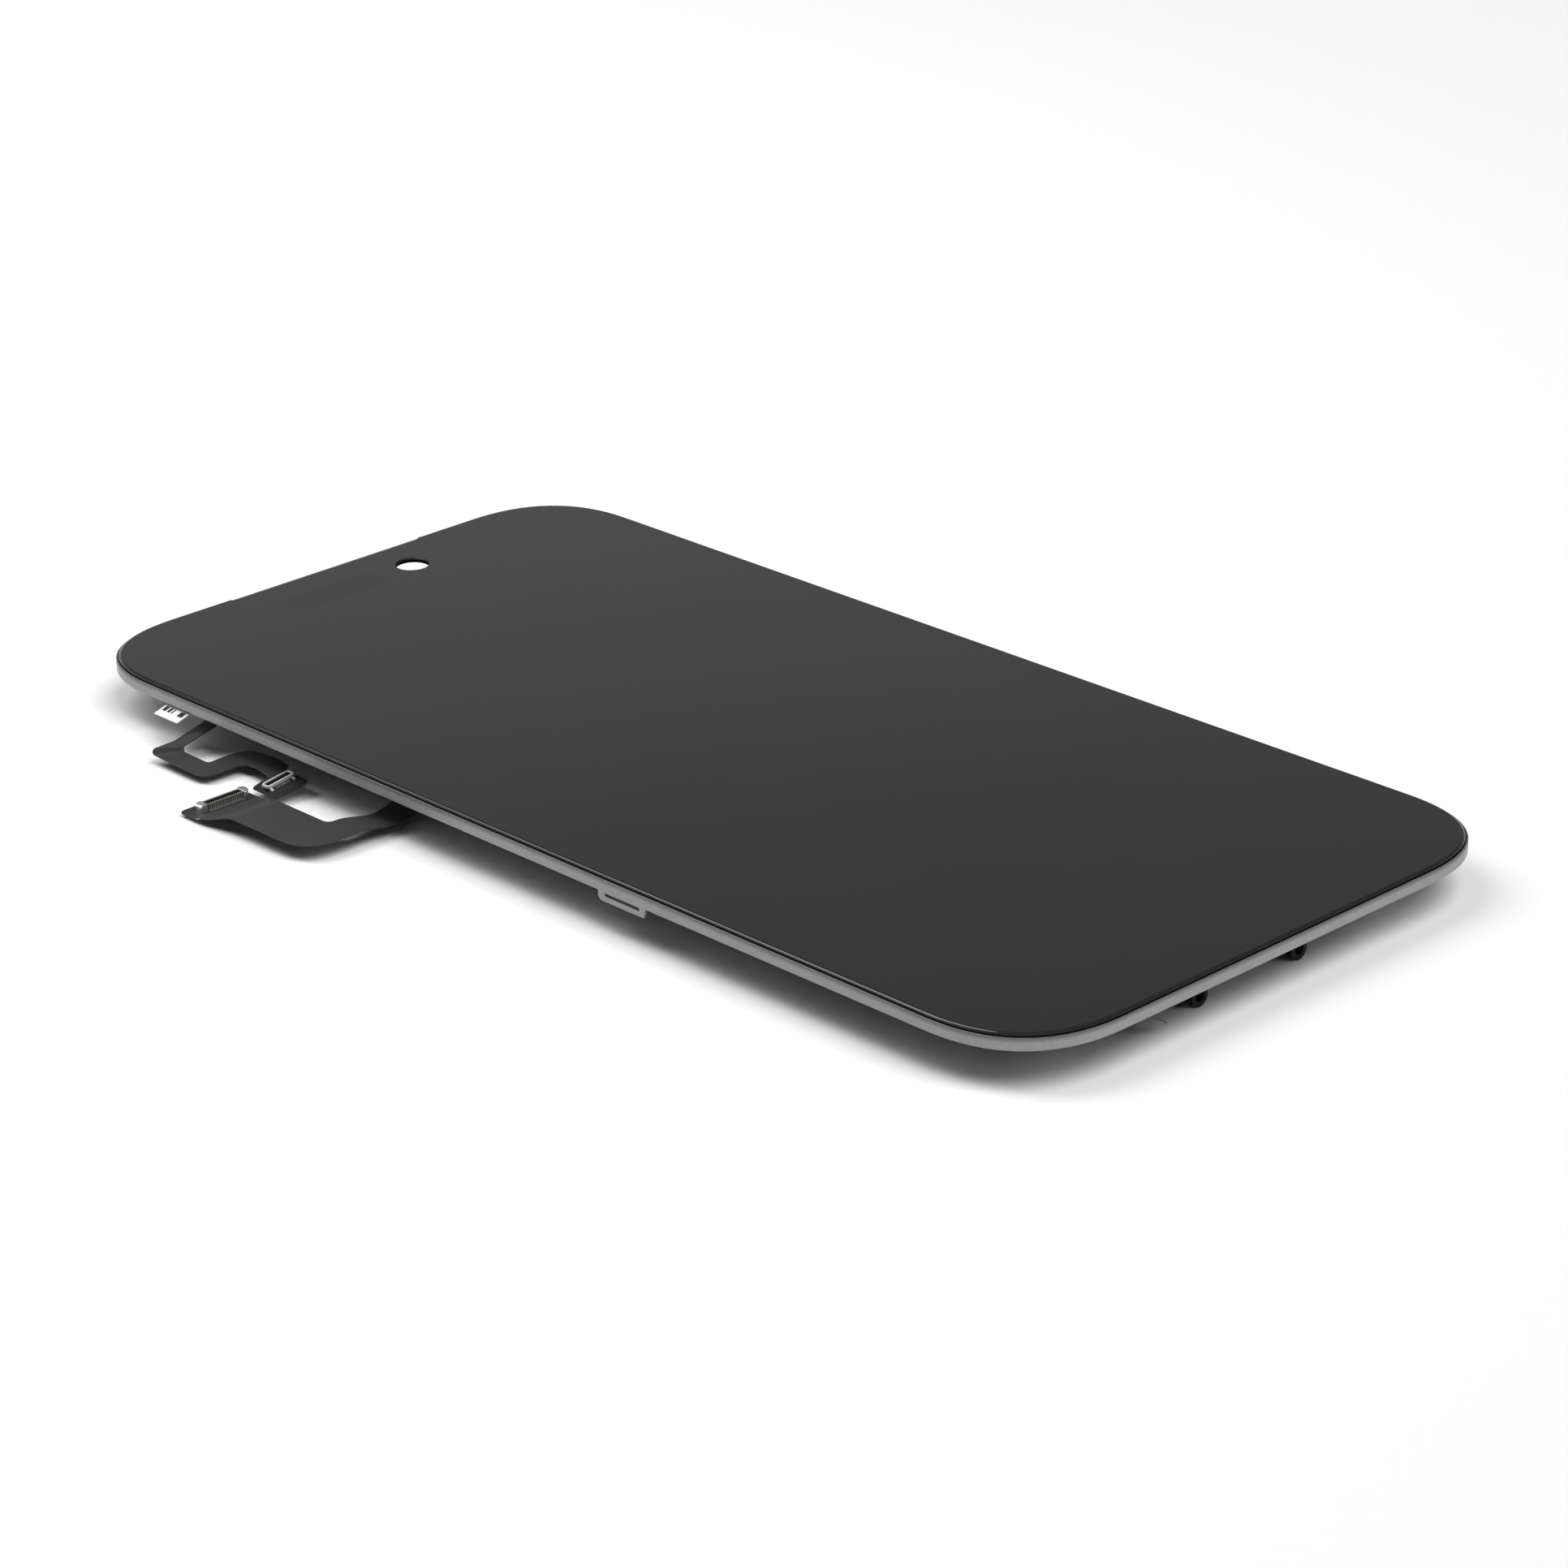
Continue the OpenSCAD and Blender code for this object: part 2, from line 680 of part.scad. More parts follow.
// The touch circuit has a pad on the back plate and its free tail
module touch_flex() {
    pad_w = touch_pad_x[1] - touch_pad_x[0];
    pad_l = touch_pad_y[1] - touch_pad_y[0];
    color([0.1, 0.1, 0.1]) {
        translate([touch_pad_x[0], touch_pad_y[0], flex_low])
            cube([pad_w, pad_l, flex_t]);
        sheet(touch_gates, flex_t);
    }
}

// Place of the display connector on its head, and the sizes that both connectors share
display_plug_at = [side_x - 7.2, half_l - 35.2];
plug_r = 0.3;
anchor_l = 0.7;
socket_wall = 0.25;
socket_floor = 0.2;
shell_tab_w = 0.35;
stiffener_margin = 0.4;

// A block with rounded upright corners that stands on the origin
module rounded_block(l, w, h, r) {
    linear_extrude(h)
        polygon(rounded(l / 2, w / 2, r, 2, 3));
}

// Puts its children on the display circuit's head, or on the touch circuit's tilted one
module on_display_head() {
    translate([display_plug_at.x, display_plug_at.y, head_z])
        children();
}

module on_touch_head() {
    translate(touch_plug_at)
        rotate([0, -touch_tilt, 0])
            children();
}

module display_stiffener() {
    l = head_x[1] - head_x[0] - 2 * stiffener_margin;
    w = head_y[1] - head_y[0] - stiffener_margin;
    color([0.6, 0.6, 0.6])
        translate([(head_x[0] + head_x[1]) / 2, head_y[0] + w / 2, head_z - flex_t - stiffener_t])
            rounded_block(l, w, stiffener_t, head_r - stiffener_margin / 2);
}

module display_plug() {
    color([0.07, 0.07, 0.07])
        on_display_head()
            difference() {
                rounded_block(display_plug_l, display_plug_w, display_plug_h, plug_r);
                translate([0, 0, socket_floor])
                    rounded_block(display_plug_l - 2 * anchor_l, display_plug_w - 2 * socket_wall,
                        display_plug_h, plug_r / 2);
            }
}

// Metal caps over both ends of the display connector
module display_anchors() {
    color([0.85, 0.85, 0.86])
        on_display_head()
            difference() {
                rounded_block(display_plug_l + 2 * plug_metal_t, display_plug_w + 2 * plug_metal_t,
                    display_plug_h + plug_metal_t, plug_r + plug_metal_t);
                translate([0, 0, -past])
                    rounded_block(display_plug_l, display_plug_w, display_plug_h + past, plug_r);
                translate([anchor_l - display_plug_l / 2, -display_plug_w, -past])
                    cube([display_plug_l - 2 * anchor_l, 2 * display_plug_w, display_plug_h + 2 * past]);
            }
}

// One contact or tab: a foot on the circuit and a leg up the connector's wall, at y = 0 outwards
module contact(w, h) {
    translate([-w / 2, 0, 0])
        rotate([90, 0, 90])
            linear_extrude(w)
                polygon([
                    [0, 0],
                    [contact_l, 0],
                    [contact_l, plug_metal_t],
                    [plug_metal_t, plug_metal_t],
                    [plug_metal_t, h],
                    [0, h]
                ]);
}

// Both rows of contacts along a connector of length l and width w
module contact_rows(l, w, h) {
    count = floor((l - 2 * anchor_l) / contact_pitch);
    for (side = [0, 1])
        mirror([0, side, 0])
            for (i = [0 : count - 1])
                translate([contact_pitch * (i - (count - 1) / 2), w / 2, 0])
                    contact(contact_w, h);
}

module display_contacts() {
    color([0.83, 0.76, 0.6])
        on_display_head()
            contact_rows(display_plug_l, display_plug_w, display_plug_h / 2);
}

module touch_stiffener() {
    l = touch_head_x[1] - touch_head_x[0] - 2 * stiffener_margin;
    w = touch_head_y[1] - touch_head_y[0] - 2 * stiffener_margin;
    color([0.6, 0.6, 0.6])
        on_touch_head()
            translate([
                (touch_head_x[0] + touch_head_x[1]) / 2 - touch_plug_at.x,
                (touch_head_y[0] + touch_head_y[1]) / 2 - touch_plug_at.y,
                -flex_t * cos(touch_tilt) - stiffener_t
            ])
                rounded_block(l, w, stiffener_t, touch_head_r - stiffener_margin);
}

module touch_plug() {
    color([0.07, 0.07, 0.07])
        on_touch_head()
            difference() {
                rounded_block(touch_plug_l, touch_plug_w, touch_plug_h, plug_r);
                translate([0, 0, socket_floor])
                    rounded_block(touch_plug_l - 2 * socket_wall, touch_plug_w - 2 * socket_wall,
                        touch_plug_h, plug_r / 2);
            }
}

// Metal rim over the upper edge of the touch connector, with a tab at each corner
module touch_shell() {
    rim = socket_wall / 2;
    tab_x = touch_plug_l / 2 - plug_r;
    color([0.85, 0.85, 0.86])
        on_touch_head() {
            difference() {
                translate([0, 0, touch_plug_h / 2])
                    rounded_block(touch_plug_l + 2 * plug_metal_t, touch_plug_w + 2 * plug_metal_t,
                        touch_plug_h / 2 + plug_metal_t, plug_r + plug_metal_t);
                rounded_block(touch_plug_l, touch_plug_w, touch_plug_h, plug_r);
                rounded_block(touch_plug_l - 2 * rim, touch_plug_w - 2 * rim, 2 * touch_plug_h, plug_r / 2);
            }
            for (side = [0, 1], x = [-tab_x, tab_x])
                mirror([0, side, 0])
                    translate([x, touch_plug_w / 2, 0])
                        contact(shell_tab_w, touch_plug_h / 2);
        }
}

module touch_contacts() {
    color([0.83, 0.76, 0.6])
        on_touch_head()
            contact_rows(touch_plug_l, touch_plug_w, touch_plug_h / 2);
}

// Black bracket over the fold, with wings to two feet on the back plate and two lugs turned down
module lug_bracket() {
    lug_r = lug_w / 2;
    hole_z = stand_low + lug_r;
    reach = lug_t + collar_l;
    span = 2 * (foot_x + bracket_foot);
    color([0.05, 0.05, 0.055])
        difference() {
            union() {
                translate([-bracket_l / 2, lug_face, tape_low - lug_t])
                    cube([bracket_l, bracket_w, lug_t]);
                translate([-span / 2, lug_face, tape_low - lug_t])
                    cube([span, wing_w, lug_t]);
                for (x = [-span / 2, foot_x])
                    translate([x, lug_face, tape_low - lug_t])
                        cube([bracket_foot, wing_w, back_low - tape_low + lug_t]);
                for (x = [-lug_spacing / 2, lug_spacing / 2]) {
                    translate([x - lug_r, lug_face, hole_z])
                        cube([lug_w, lug_t, tape_low - hole_z]);
                    translate([x, lug_face + lug_t, hole_z])
                        rotate([90, 0, 0])
                            cylinder(h = lug_t, r = lug_r);
                    translate([x, lug_face + reach, hole_z])
                        rotate([90, 0, 0])
                            cylinder(h = reach, r = lug_hole_r + collar_wall);
                }
            }
            for (x = [-lug_spacing / 2, lug_spacing / 2])
                translate([x, lug_face + reach + past, hole_z])
                    rotate([90, 0, 0])
                        cylinder(h = reach + 2 * past, r = lug_hole_r);
        }
}

// A sheet-metal hook under the frame's upper rim: a foot, a leg down and a lip that points outwards
module hook() {
    inner = half_l - frame_rim + panel_gap;
    outer = half_l - 2 * panel_gap;
    translate([-hook_w / 2, 0, 0])
        rotate([90, 0, 90])
            linear_extrude(hook_w)
                polygon([
                    [inner, band_low],
                    [outer, band_low],
                    [outer, band_low - hook_t],
                    [inner + hook_t, band_low - hook_t],
                    [inner + hook_t, stand_low + hook_t],
                    [inner + hook_t + hook_lip, stand_low + hook_t],
                    [inner + hook_t + hook_lip, stand_low],
                    [inner, stand_low]
                ]);
}

module hook_left() {
    color([0.6, 0.6, 0.61])
        translate([-hook_x, 0, 0])
            hook();
}

module hook_right() {
    color([0.6, 0.6, 0.61])
        translate([hook_x, 0, 0])
            hook();
}

// A paper label glued under the frame's rim, with its free part sloping out and down
label_glued = 0.85;

module paper_label() {
    x_in = frame_rim - half_w;
    x_bend = x_in - label_glued;
    x_out = -half_w - label_out;
    drop = (x_bend - x_out) * tan(label_slope);
    color([0.93, 0.93, 0.92])
        translate([0, label_y + label_w / 2, 0])
            rotate([90, 0, 0])
                linear_extrude(label_w)
                    polygon([
                        [x_in, band_low],
                        [x_bend, band_low],
                        [x_out, band_low - drop],
                        [x_out, band_low - drop - label_t],
                        [x_bend, band_low - label_t],
                        [x_in, band_low - label_t]
                    ]);
}

// A thin black film stuck on the back plate, with a loose end that curls down
film_end_x = [-foot_x - bracket_foot - 7, -foot_x - bracket_foot - 3.2, -foot_x - bracket_foot + 2.5];
film_end_y = [panel_end + 2, panel_end - 1];
film_end_z = -4.85;
film_curl_power = 1.6;

function film_gate(x, z) = [[x, film_end_y[0], z], [x, film_end_y[1], z]];

module film_end() {
    color([0.05, 0.05, 0.05])
        sheet(concat(
            stretch(film_gate(film_end_x[0], back_low), film_gate(film_end_x[1], back_low), 1),
            stretch(film_gate(film_end_x[1], back_low), film_gate(film_end_x[2], film_end_z), 8,
                film_curl_power),
            [film_gate(film_end_x[2], film_end_z)]
        ), film_end_t);
}

cover_glass();
glass_adhesive();
bezel_frame();
clear_adhesive();
front_polarizer();
filter_glass();
cell_glass();
driver_chip();
rear_polarizer();
prism_film();
diffuser_film();
light_guide();
reflector_film();
lamp_strip();
lamps();
light_rim();
back_plate();
display_flex();
fold_tape();
display_stiffener();
display_plug();
display_anchors();
display_contacts();
touch_flex();
touch_stiffener();
touch_plug();
touch_shell();
touch_contacts();
lug_bracket();
hook_left();
hook_right();
paper_label();
film_end();
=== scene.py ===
import math

import bmesh
import bpy
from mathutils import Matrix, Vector


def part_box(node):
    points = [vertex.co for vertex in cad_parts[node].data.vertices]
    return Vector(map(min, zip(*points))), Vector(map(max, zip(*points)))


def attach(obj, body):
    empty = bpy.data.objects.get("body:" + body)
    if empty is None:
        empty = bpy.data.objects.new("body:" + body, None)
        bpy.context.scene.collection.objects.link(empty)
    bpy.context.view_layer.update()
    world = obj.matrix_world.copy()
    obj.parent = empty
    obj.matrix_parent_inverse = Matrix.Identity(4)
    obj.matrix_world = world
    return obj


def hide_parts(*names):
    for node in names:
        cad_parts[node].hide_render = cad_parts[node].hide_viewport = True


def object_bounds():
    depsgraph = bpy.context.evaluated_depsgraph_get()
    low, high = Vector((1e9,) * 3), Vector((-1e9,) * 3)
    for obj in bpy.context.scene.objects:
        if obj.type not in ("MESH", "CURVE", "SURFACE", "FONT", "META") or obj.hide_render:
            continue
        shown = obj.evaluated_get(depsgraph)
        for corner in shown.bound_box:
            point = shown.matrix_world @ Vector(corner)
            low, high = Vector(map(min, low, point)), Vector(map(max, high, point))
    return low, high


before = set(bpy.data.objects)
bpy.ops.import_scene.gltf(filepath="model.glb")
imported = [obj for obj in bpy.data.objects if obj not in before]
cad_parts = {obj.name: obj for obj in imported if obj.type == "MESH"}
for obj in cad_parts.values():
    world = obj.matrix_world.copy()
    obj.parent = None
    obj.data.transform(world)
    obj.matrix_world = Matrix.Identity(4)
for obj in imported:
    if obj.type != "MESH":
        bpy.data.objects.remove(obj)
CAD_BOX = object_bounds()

bl_info = {
    "name": "Phone Screen Assembly",
    "version": (1, 0, 0),
    "blender": (4, 5, 0),
    "location": "3D View > Sidebar > Screen",
    "description": "Dresses a phone screen: glass, frame, tails, connectors, bracket, hooks and label",
    "category": "Object",
}

MM = 0.001

# Places that several pieces share
FRAME_TOP = -0.35 * MM
FRAME_BOTTOM = -1.68 * MM
BACK_FACE = -2.24           # millimetres, as the sheets' gates are
FRAME_WALL = 35 * MM

# The camera hole and the sound notch in the glass
HOLE_AT = (7.6 * MM, 65.3 * MM)
HOLE_RADIUS = 1.9 * MM
NOTCH_HALF = 13.5 * MM
NOTCH_DEPTH = 0.3 * MM

# The clip on each side of the frame, and the slot in it
CLIP_Y = -17.55 * MM
CLIP_HALF = 3.5 * MM
CLIP_DROP = 1 * MM
CLIP_SHEET = 0.35 * MM
SLOT_HALF = 2.5 * MM


# Sizes and colours that a user would change


class ScreenSizes(bpy.types.PropertyGroup):
    corner_reach: bpy.props.FloatProperty(
        name="Corner Reach", description="How far a corner's curve reaches along an edge",
        default=13.7 * MM, unit="LENGTH")
    corner_profile: bpy.props.FloatProperty(
        name="Corner Profile", description="Squareness of the corners, where 0.5 is round",
        default=0.573, min=0.4, max=0.8)
    glass_inset: bpy.props.FloatProperty(
        name="Glass Inset", description="Distance from the frame's wall to the glass edge",
        default=0.25 * MM, unit="LENGTH")
    glass_round: bpy.props.FloatProperty(
        name="Glass Rounding", description="Radius of the rounded edge of the glass",
        default=0.4 * MM, unit="LENGTH")
    frame_rim: bpy.props.FloatProperty(
        name="Frame Rim", description="Width of the frame from its wall to its opening",
        default=2 * MM, unit="LENGTH")
    flex_thickness: bpy.props.FloatProperty(
        name="Circuit Thickness", description="Thickness of a flexible circuit",
        default=0.12 * MM, unit="LENGTH")
    contact_pitch: bpy.props.FloatProperty(
        name="Contact Pitch", description="Distance between contacts",
        default=0.25 * MM, unit="LENGTH")


def colour(name, description, default):
    return bpy.props.FloatVectorProperty(
        name=name, description=description, default=default, size=3, subtype="COLOR", min=0, max=1)


class ScreenColours(bpy.types.PropertyGroup):
    glass: colour("Glass", "Black print seen through the cover glass", (0.014, 0.014, 0.0145))
    band: colour("Frame", "Satin grey of the bezel frame", (0.32, 0.32, 0.324))
    flex: colour("Circuit", "Dark film of the flexible circuits", (0.035, 0.035, 0.036))
    black_plastic: colour("Black Plastic", "Connector housings and tape", (0.02, 0.02, 0.02))
    black_metal: colour("Black Metal", "Painted lug bracket", (0.008, 0.008, 0.0085))
    steel: colour("Steel", "Back plate, hooks and stiffeners", (0.56, 0.57, 0.58))
    bright: colour("Bright Metal", "Connector anchors and rim", (0.92, 0.92, 0.93))
    contact: colour("Contacts", "Plated contacts", (0.8, 0.78, 0.73))
    paper: colour("Paper", "Label paper", (0.92, 0.92, 0.91))
    ink: colour("Ink", "Bars on the label", (0.025, 0.025, 0.028))
    floor: colour("Floor", "Pale surface under the screen", (0.97, 0.97, 0.97))


# Selecting and finishing


def start(add, **settings):
    """Adds a primitive with nothing else selected and opens it in edit mode."""
    if bpy.context.object and bpy.context.object.mode == "EDIT":
        bpy.ops.object.mode_set(mode="OBJECT")
    bpy.ops.object.select_all(action="DESELECT")
    add(**settings)
    bpy.ops.object.mode_set(mode="EDIT")
    return bpy.context.object


def select(kind, test=lambda item: True):
    """Selects the vertices, edges or faces that pass a test, in edit mode."""
    bpy.ops.mesh.select_mode(type=kind)
    bpy.ops.mesh.select_all(action="DESELECT")
    mesh = bmesh.from_edit_mesh(bpy.context.object.data)
    items = {"VERT": mesh.verts, "EDGE": mesh.edges, "FACE": mesh.faces}[kind]
    found = [item for item in items if test(item)]
    for item in found:
        item.select_set(True)
    mesh.select_flush_mode()
    bmesh.update_edit_mesh(bpy.context.object.data)
    return len(found)


def middle(item):
    """The middle of an edge or a face."""
    return sum((v.co for v in item.verts), Vector()) / len(item.verts)


def spans(edge):
    """How far an edge runs along each axis."""
    step = edge.verts[0].co - edge.verts[1].co
    return Vector(abs(x) for x in step)


def box(size, centre):
    """A block of a given size round a centre, left in edit mode with all of it selected."""
    piece = start(bpy.ops.mesh.primitive_cube_add, size=1)
    bpy.ops.transform.resize(value=size)
    bpy.ops.transform.translate(value=centre)
    return piece


def slab(low, high):
    """A block between two corners, left in edit mode."""
    low, high = Vector(low), Vector(high)
    return box(high - low, (low + high) / 2)


def rod(radius, length, centre, along, sides=48):
    """A round bar along an axis, left in edit mode."""
    turn = {"X": (0, math.pi / 2, 0), "Y": (math.pi / 2, 0, 0), "Z": (0, 0, 0)}[along]
    return start(bpy.ops.mesh.primitive_cylinder_add, vertices=sides, radius=radius, depth=length,
                 location=centre, rotation=turn)


def settle(piece):
    """Leaves edit mode and moves the object's place and turn into its mesh."""
    if bpy.context.object and bpy.context.object.mode == "EDIT":
        bpy.ops.object.mode_set(mode="OBJECT")
    bpy.ops.object.select_all(action="DESELECT")
    piece.select_set(True)
    bpy.context.view_layer.objects.active = piece
    bpy.ops.object.transform_apply(location=True, rotation=True, scale=True)
    return piece


def shape(piece, kind, **settings):
    """Gives a piece a modifier and applies it."""
    settle(piece)
    modifier = piece.modifiers.new(kind.title(), kind)
    for name, value in settings.items():
        setattr(modifier, name, value)
    bpy.ops.object.modifier_apply(modifier=modifier.name)
    return piece


def combine(piece, operation, *others):
    """Adds other shapes to a piece, or cuts them out of it."""
    for other in others:
        settle(other)
        shape(piece, "BOOLEAN", operation=operation, solver="EXACT", object=other)
        bpy.data.objects.remove(other)
    return piece


def join(pieces):
    """Joins several shapes in one object."""
    for piece in pieces:
        settle(piece)
    for piece in pieces:
        piece.select_set(True)
    bpy.context.view_layer.objects.active = pieces[0]
    bpy.ops.object.join()
    return pieces[0]


def copies(piece, steps):
    """Copies a modelled shape along steps, each copy with its own mesh, and joins them."""
    settle(piece)
    row = [piece]
    for step in steps:
        bpy.ops.object.select_all(action="DESELECT")
        piece.select_set(True)
        bpy.context.view_layer.objects.active = piece
        bpy.ops.object.duplicate(linked=False)
        copy = bpy.context.object
        bpy.ops.transform.translate(value=step)
        row.append(copy)
    return join(row)


def soften(piece, width, segments=2, angle=35):
    """Rounds the sharp edges of a piece a little."""
    return shape(piece, "BEVEL", width=width, segments=segments, limit_method="ANGLE",
                 angle_limit=math.radians(angle), harden_normals=False)


def finish_piece(piece, name, slot, material, *nodes, smooth=35):
    """Shades a piece, gives it its finish and puts it in the frame in place of its CAD nodes."""
    settle(piece)
    bpy.ops.object.shade_smooth_by_angle(angle=math.radians(smooth))
    piece.name = name
    piece.data.name = name
    piece.data.materials.clear()
    piece.data.materials.append(material)
    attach(piece, "root")
    if nodes:
        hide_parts(*nodes)
    return piece


def even_normals(piece):
    """Lets a piece's large flat faces keep their own direction next to its rounded edges."""
    settle(piece)
    bpy.ops.object.shade_smooth_by_angle(angle=math.radians(50))
    return shape(piece, "WEIGHTED_NORMAL", weight=100, keep_sharp=True)


# Shapes that several pieces share


def screen_plate(inset, top, depth, steps=24):
    """A plate with the screen's curved corners, moved in from the frame's outer wall."""
    sizes = bpy.context.scene.screen_sizes
    low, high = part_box("bezel_frame")
    wide = high.x - low.x - 2 * inset
    long = high.y - low.y - 2 * inset
    plate = start(bpy.ops.mesh.primitive_plane_add, size=1)
    bpy.ops.transform.resize(value=(wide, long, 1))
    bpy.ops.transform.translate(value=(0, 0, top))
    bpy.ops.mesh.bevel(affect="VERTICES", offset=sizes.corner_reach - inset, segments=steps,
                       profile=sizes.corner_profile)
    bpy.ops.mesh.select_all(action="SELECT")
    bpy.ops.mesh.extrude_region_move(TRANSFORM_OT_translate={"value": (0, 0, -depth)})
    bpy.ops.mesh.select_all(action="SELECT")
    bpy.ops.mesh.normals_make_consistent(inside=False)
    return plate


def bay(grow, top, depth):
    """The room for camera and sensors that the panel leaves open at the upper end."""
    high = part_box("bezel_frame")[1]
    wide = 27 * MM + 2 * grow
    inner = high.y - 10.6 * MM - grow
    outer = high.y + 5 * MM
    block = slab((-wide / 2, inner, top - depth), (wide / 2, outer, top + 1 * MM))
    select("EDGE", lambda e: spans(e).z > depth / 2 and middle(e).y < inner + 1 * MM)
    bpy.ops.mesh.bevel(offset=2 * MM, segments=8)
    return block


def panel(inset, foot, top, depth):
    """A plate with the panel's outline: the screen's, less the bay and the room at its lower end."""
    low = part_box("bezel_frame")[0]
    plate = screen_plate(2.15 * MM + inset, top, depth)
    lower = slab((low.x, low.y, top - 2 * depth), (-low.x, low.y + 3.4 * MM + foot, top + depth))
    return combine(plate, "DIFFERENCE", bay(inset, top + depth, 3 * depth), lower)


def ease(t):
    return t * t * (3 - 2 * t)


def mix(a, b, t):
    return a + (b - a) * t


def gate(left, right):
    return Vector(left), Vector(right)


def stretch(g, h, count, power=0):
    """Gates from g to h without h. Their height follows an eased step, or a power of the way."""
    gates = []
    for i in range(count):
        t = i / count
        e = t ** power if power else ease(t)
        gates.append(tuple(Vector((mix(a.x, b.x, t), mix(a.y, b.y, t), mix(a.z, b.z, e)))
                           for a, b in zip(g, h)))
    return gates


def turn(centre, radius, widths, ways, heights, power, inner_left, count):
    """Gates of a square turn round the centre of its inner fillet."""
    gates = []
    for i in range(count + 1):
        a = math.radians(90 * i / count)
        z = mix(heights[0], heights[1], i / count)
        c = Vector((centre[0], centre[1], 0))
        d, e = (Vector((w[0], w[1], 0)) for w in ways)
        out = c + (radius + widths[0]) * math.cos(a) ** (2 / power) * d \
            + (radius + widths[1]) * math.sin(a) ** (2 / power) * e
        inner = c + radius * math.cos(a) * d + radius * math.sin(a) * e
        out.z = inner.z = z
        gates.append((inner, out) if inner_left else (out, inner))
    return gates


def round_end(g, radius, way, count):
    """Gates of a head's rounded end, from the gate g on by its corner radius."""
    across = (g[1] - g[0]).normalized()
    gates = []
    for i in range(count + 1):
        a = math.radians(90 * i / count)
        on = Vector(way) * radius * math.sin(a)
        in_ = across * radius * (1 - math.cos(a))
        gates.append((g[0] + on + in_, g[1] + on - in_))
    return gates


def ribbon(gates, thickness, lower=False):
    """A sheet drawn out edge by edge through its gates, in millimetres.

    The gates lie on its upper face, or on its lower one.
    """
    gates = [(g[0] * MM, g[1] * MM) for g in gates]
    piece = start(bpy.ops.mesh.primitive_plane_add, size=1)
    select("VERT", lambda v: v.co.y < 0)
    bpy.ops.mesh.delete(type="VERT")

    def pick(*spots):
        if select("VERT", lambda v: min((v.co - s).length for s in spots) < 2e-7) != len(spots):
            raise RuntimeError("a sheet has lost the end of its last gate")

    first = [v.co.copy() for v in bmesh.from_edit_mesh(piece.data).verts]
    for spot, goal in zip(first, gates[0]):
        pick(spot)
        bpy.ops.transform.translate(value=goal - spot)
    last = gates[0]
    pick(*last)
    for g in gates[1:]:
        step = g[0] - last[0]
        bpy.ops.mesh.extrude_edges_move(TRANSFORM_OT_translate={"value": step})
        if (last[1] + step - g[1]).length > 1e-7:
            pick(last[1] + step)
            bpy.ops.transform.translate(value=g[1] - last[1] - step)
            pick(*g)
        last = g
    bpy.ops.object.mode_set(mode="OBJECT")
    lay_out(piece, gates)
    bpy.ops.object.mode_set(mode="EDIT")
    select("FACE")
    normal = sum((f.normal * f.calc_area() for f in bmesh.from_edit_mesh(piece.data).faces), Vector())
    if (normal.z < 0) != lower:
        bpy.ops.mesh.flip_normals()
    return shape(piece, "SOLIDIFY", thickness=thickness, offset=-1)


def lay_out(piece, gates):
    """Gives a sheet a map in metres: u across from its middle, v along it back from its last gate."""
    uvs = piece.data.uv_layers.get("sheet") or piece.data.uv_layers.new(name="sheet")
    along, spots, last = 0, [], None
    for left, right in reversed(gates):
        centre = (left + right) / 2
        along += (centre - last).length if last else 0
        last = centre
        wide = (right - left).length
        spots.append((left, (-wide / 2, along)))
        spots.append((right, (wide / 2, along)))
    for loop in piece.data.loops:
        co = piece.data.vertices[loop.vertex_index].co
        uvs.data[loop.index].uv = min(spots, key=lambda s: (s[0] - co).length)[1]


# Procedural finishes


class Nodes:
    """Builds one material's nodes in a row from left to right."""

    def __init__(self, name):
        self.material = bpy.data.materials.new(name)
        self.material.use_nodes = True
        self.tree = self.material.node_tree
        self.shader = self.tree.nodes["Principled BSDF"]

    def add(self, kind, inputs=(), **settings):
        node = self.tree.nodes.new(kind)
        for name, value in settings.items():
            setattr(node, name, value)
        for name, value in dict(inputs).items():
            if isinstance(value, bpy.types.NodeSocket):
                self.tree.links.new(value, node.inputs[name])
            else:
                node.inputs[name].default_value = value
        return node

    def math(self, operation, a, b=0.0, c=0.0):
        return self.add("ShaderNodeMath", {0: a, 1: b, 2: c}, operation=operation).outputs[0]

    def link(self, socket, name):
        self.tree.links.new(socket, self.shader.inputs[name])

    def place(self, stretch=(1, 1, 1)):
        spot = self.add("ShaderNodeTexCoord").outputs["Object"]
        return self.add("ShaderNodeMapping", {"Vector": spot, "Scale": stretch}).outputs[0]

    def split(self, vector):
        """The x, y and z of a place."""
        return self.add("ShaderNodeSeparateXYZ", {0: vector}).outputs

    def noise(self, vector, size, detail=3, roughness=0.6):
        node = self.add("ShaderNodeTexNoise", {
            "Vector": vector, "Scale": 1 / size, "Detail": detail, "Roughness": roughness})
        return node.outputs["Fac"]

    def blend(self, fac, a, b):
        node = self.add("ShaderNodeMix", data_type="RGBA")
        for socket, value in ((node.inputs[0], fac), (node.inputs[6], a), (node.inputs[7], b)):
            if isinstance(value, bpy.types.NodeSocket):
                self.tree.links.new(value, socket)
            else:
                socket.default_value = value
        return node.outputs[2]

    def spread(self, fac, low, high):
        return self.add("ShaderNodeMapRange", {0: fac, 1: 0.25, 2: 0.75, 3: low, 4: high}).outputs[0]

    def bump(self, height, strength, depth):
        node = self.add("ShaderNodeBump", {"Height": height, "Strength": strength, "Distance": depth})
        self.link(node.outputs[0], "Normal")


def rgba(c, factor=1.0):
    return tuple(min(1, x * factor) for x in c) + (1,)


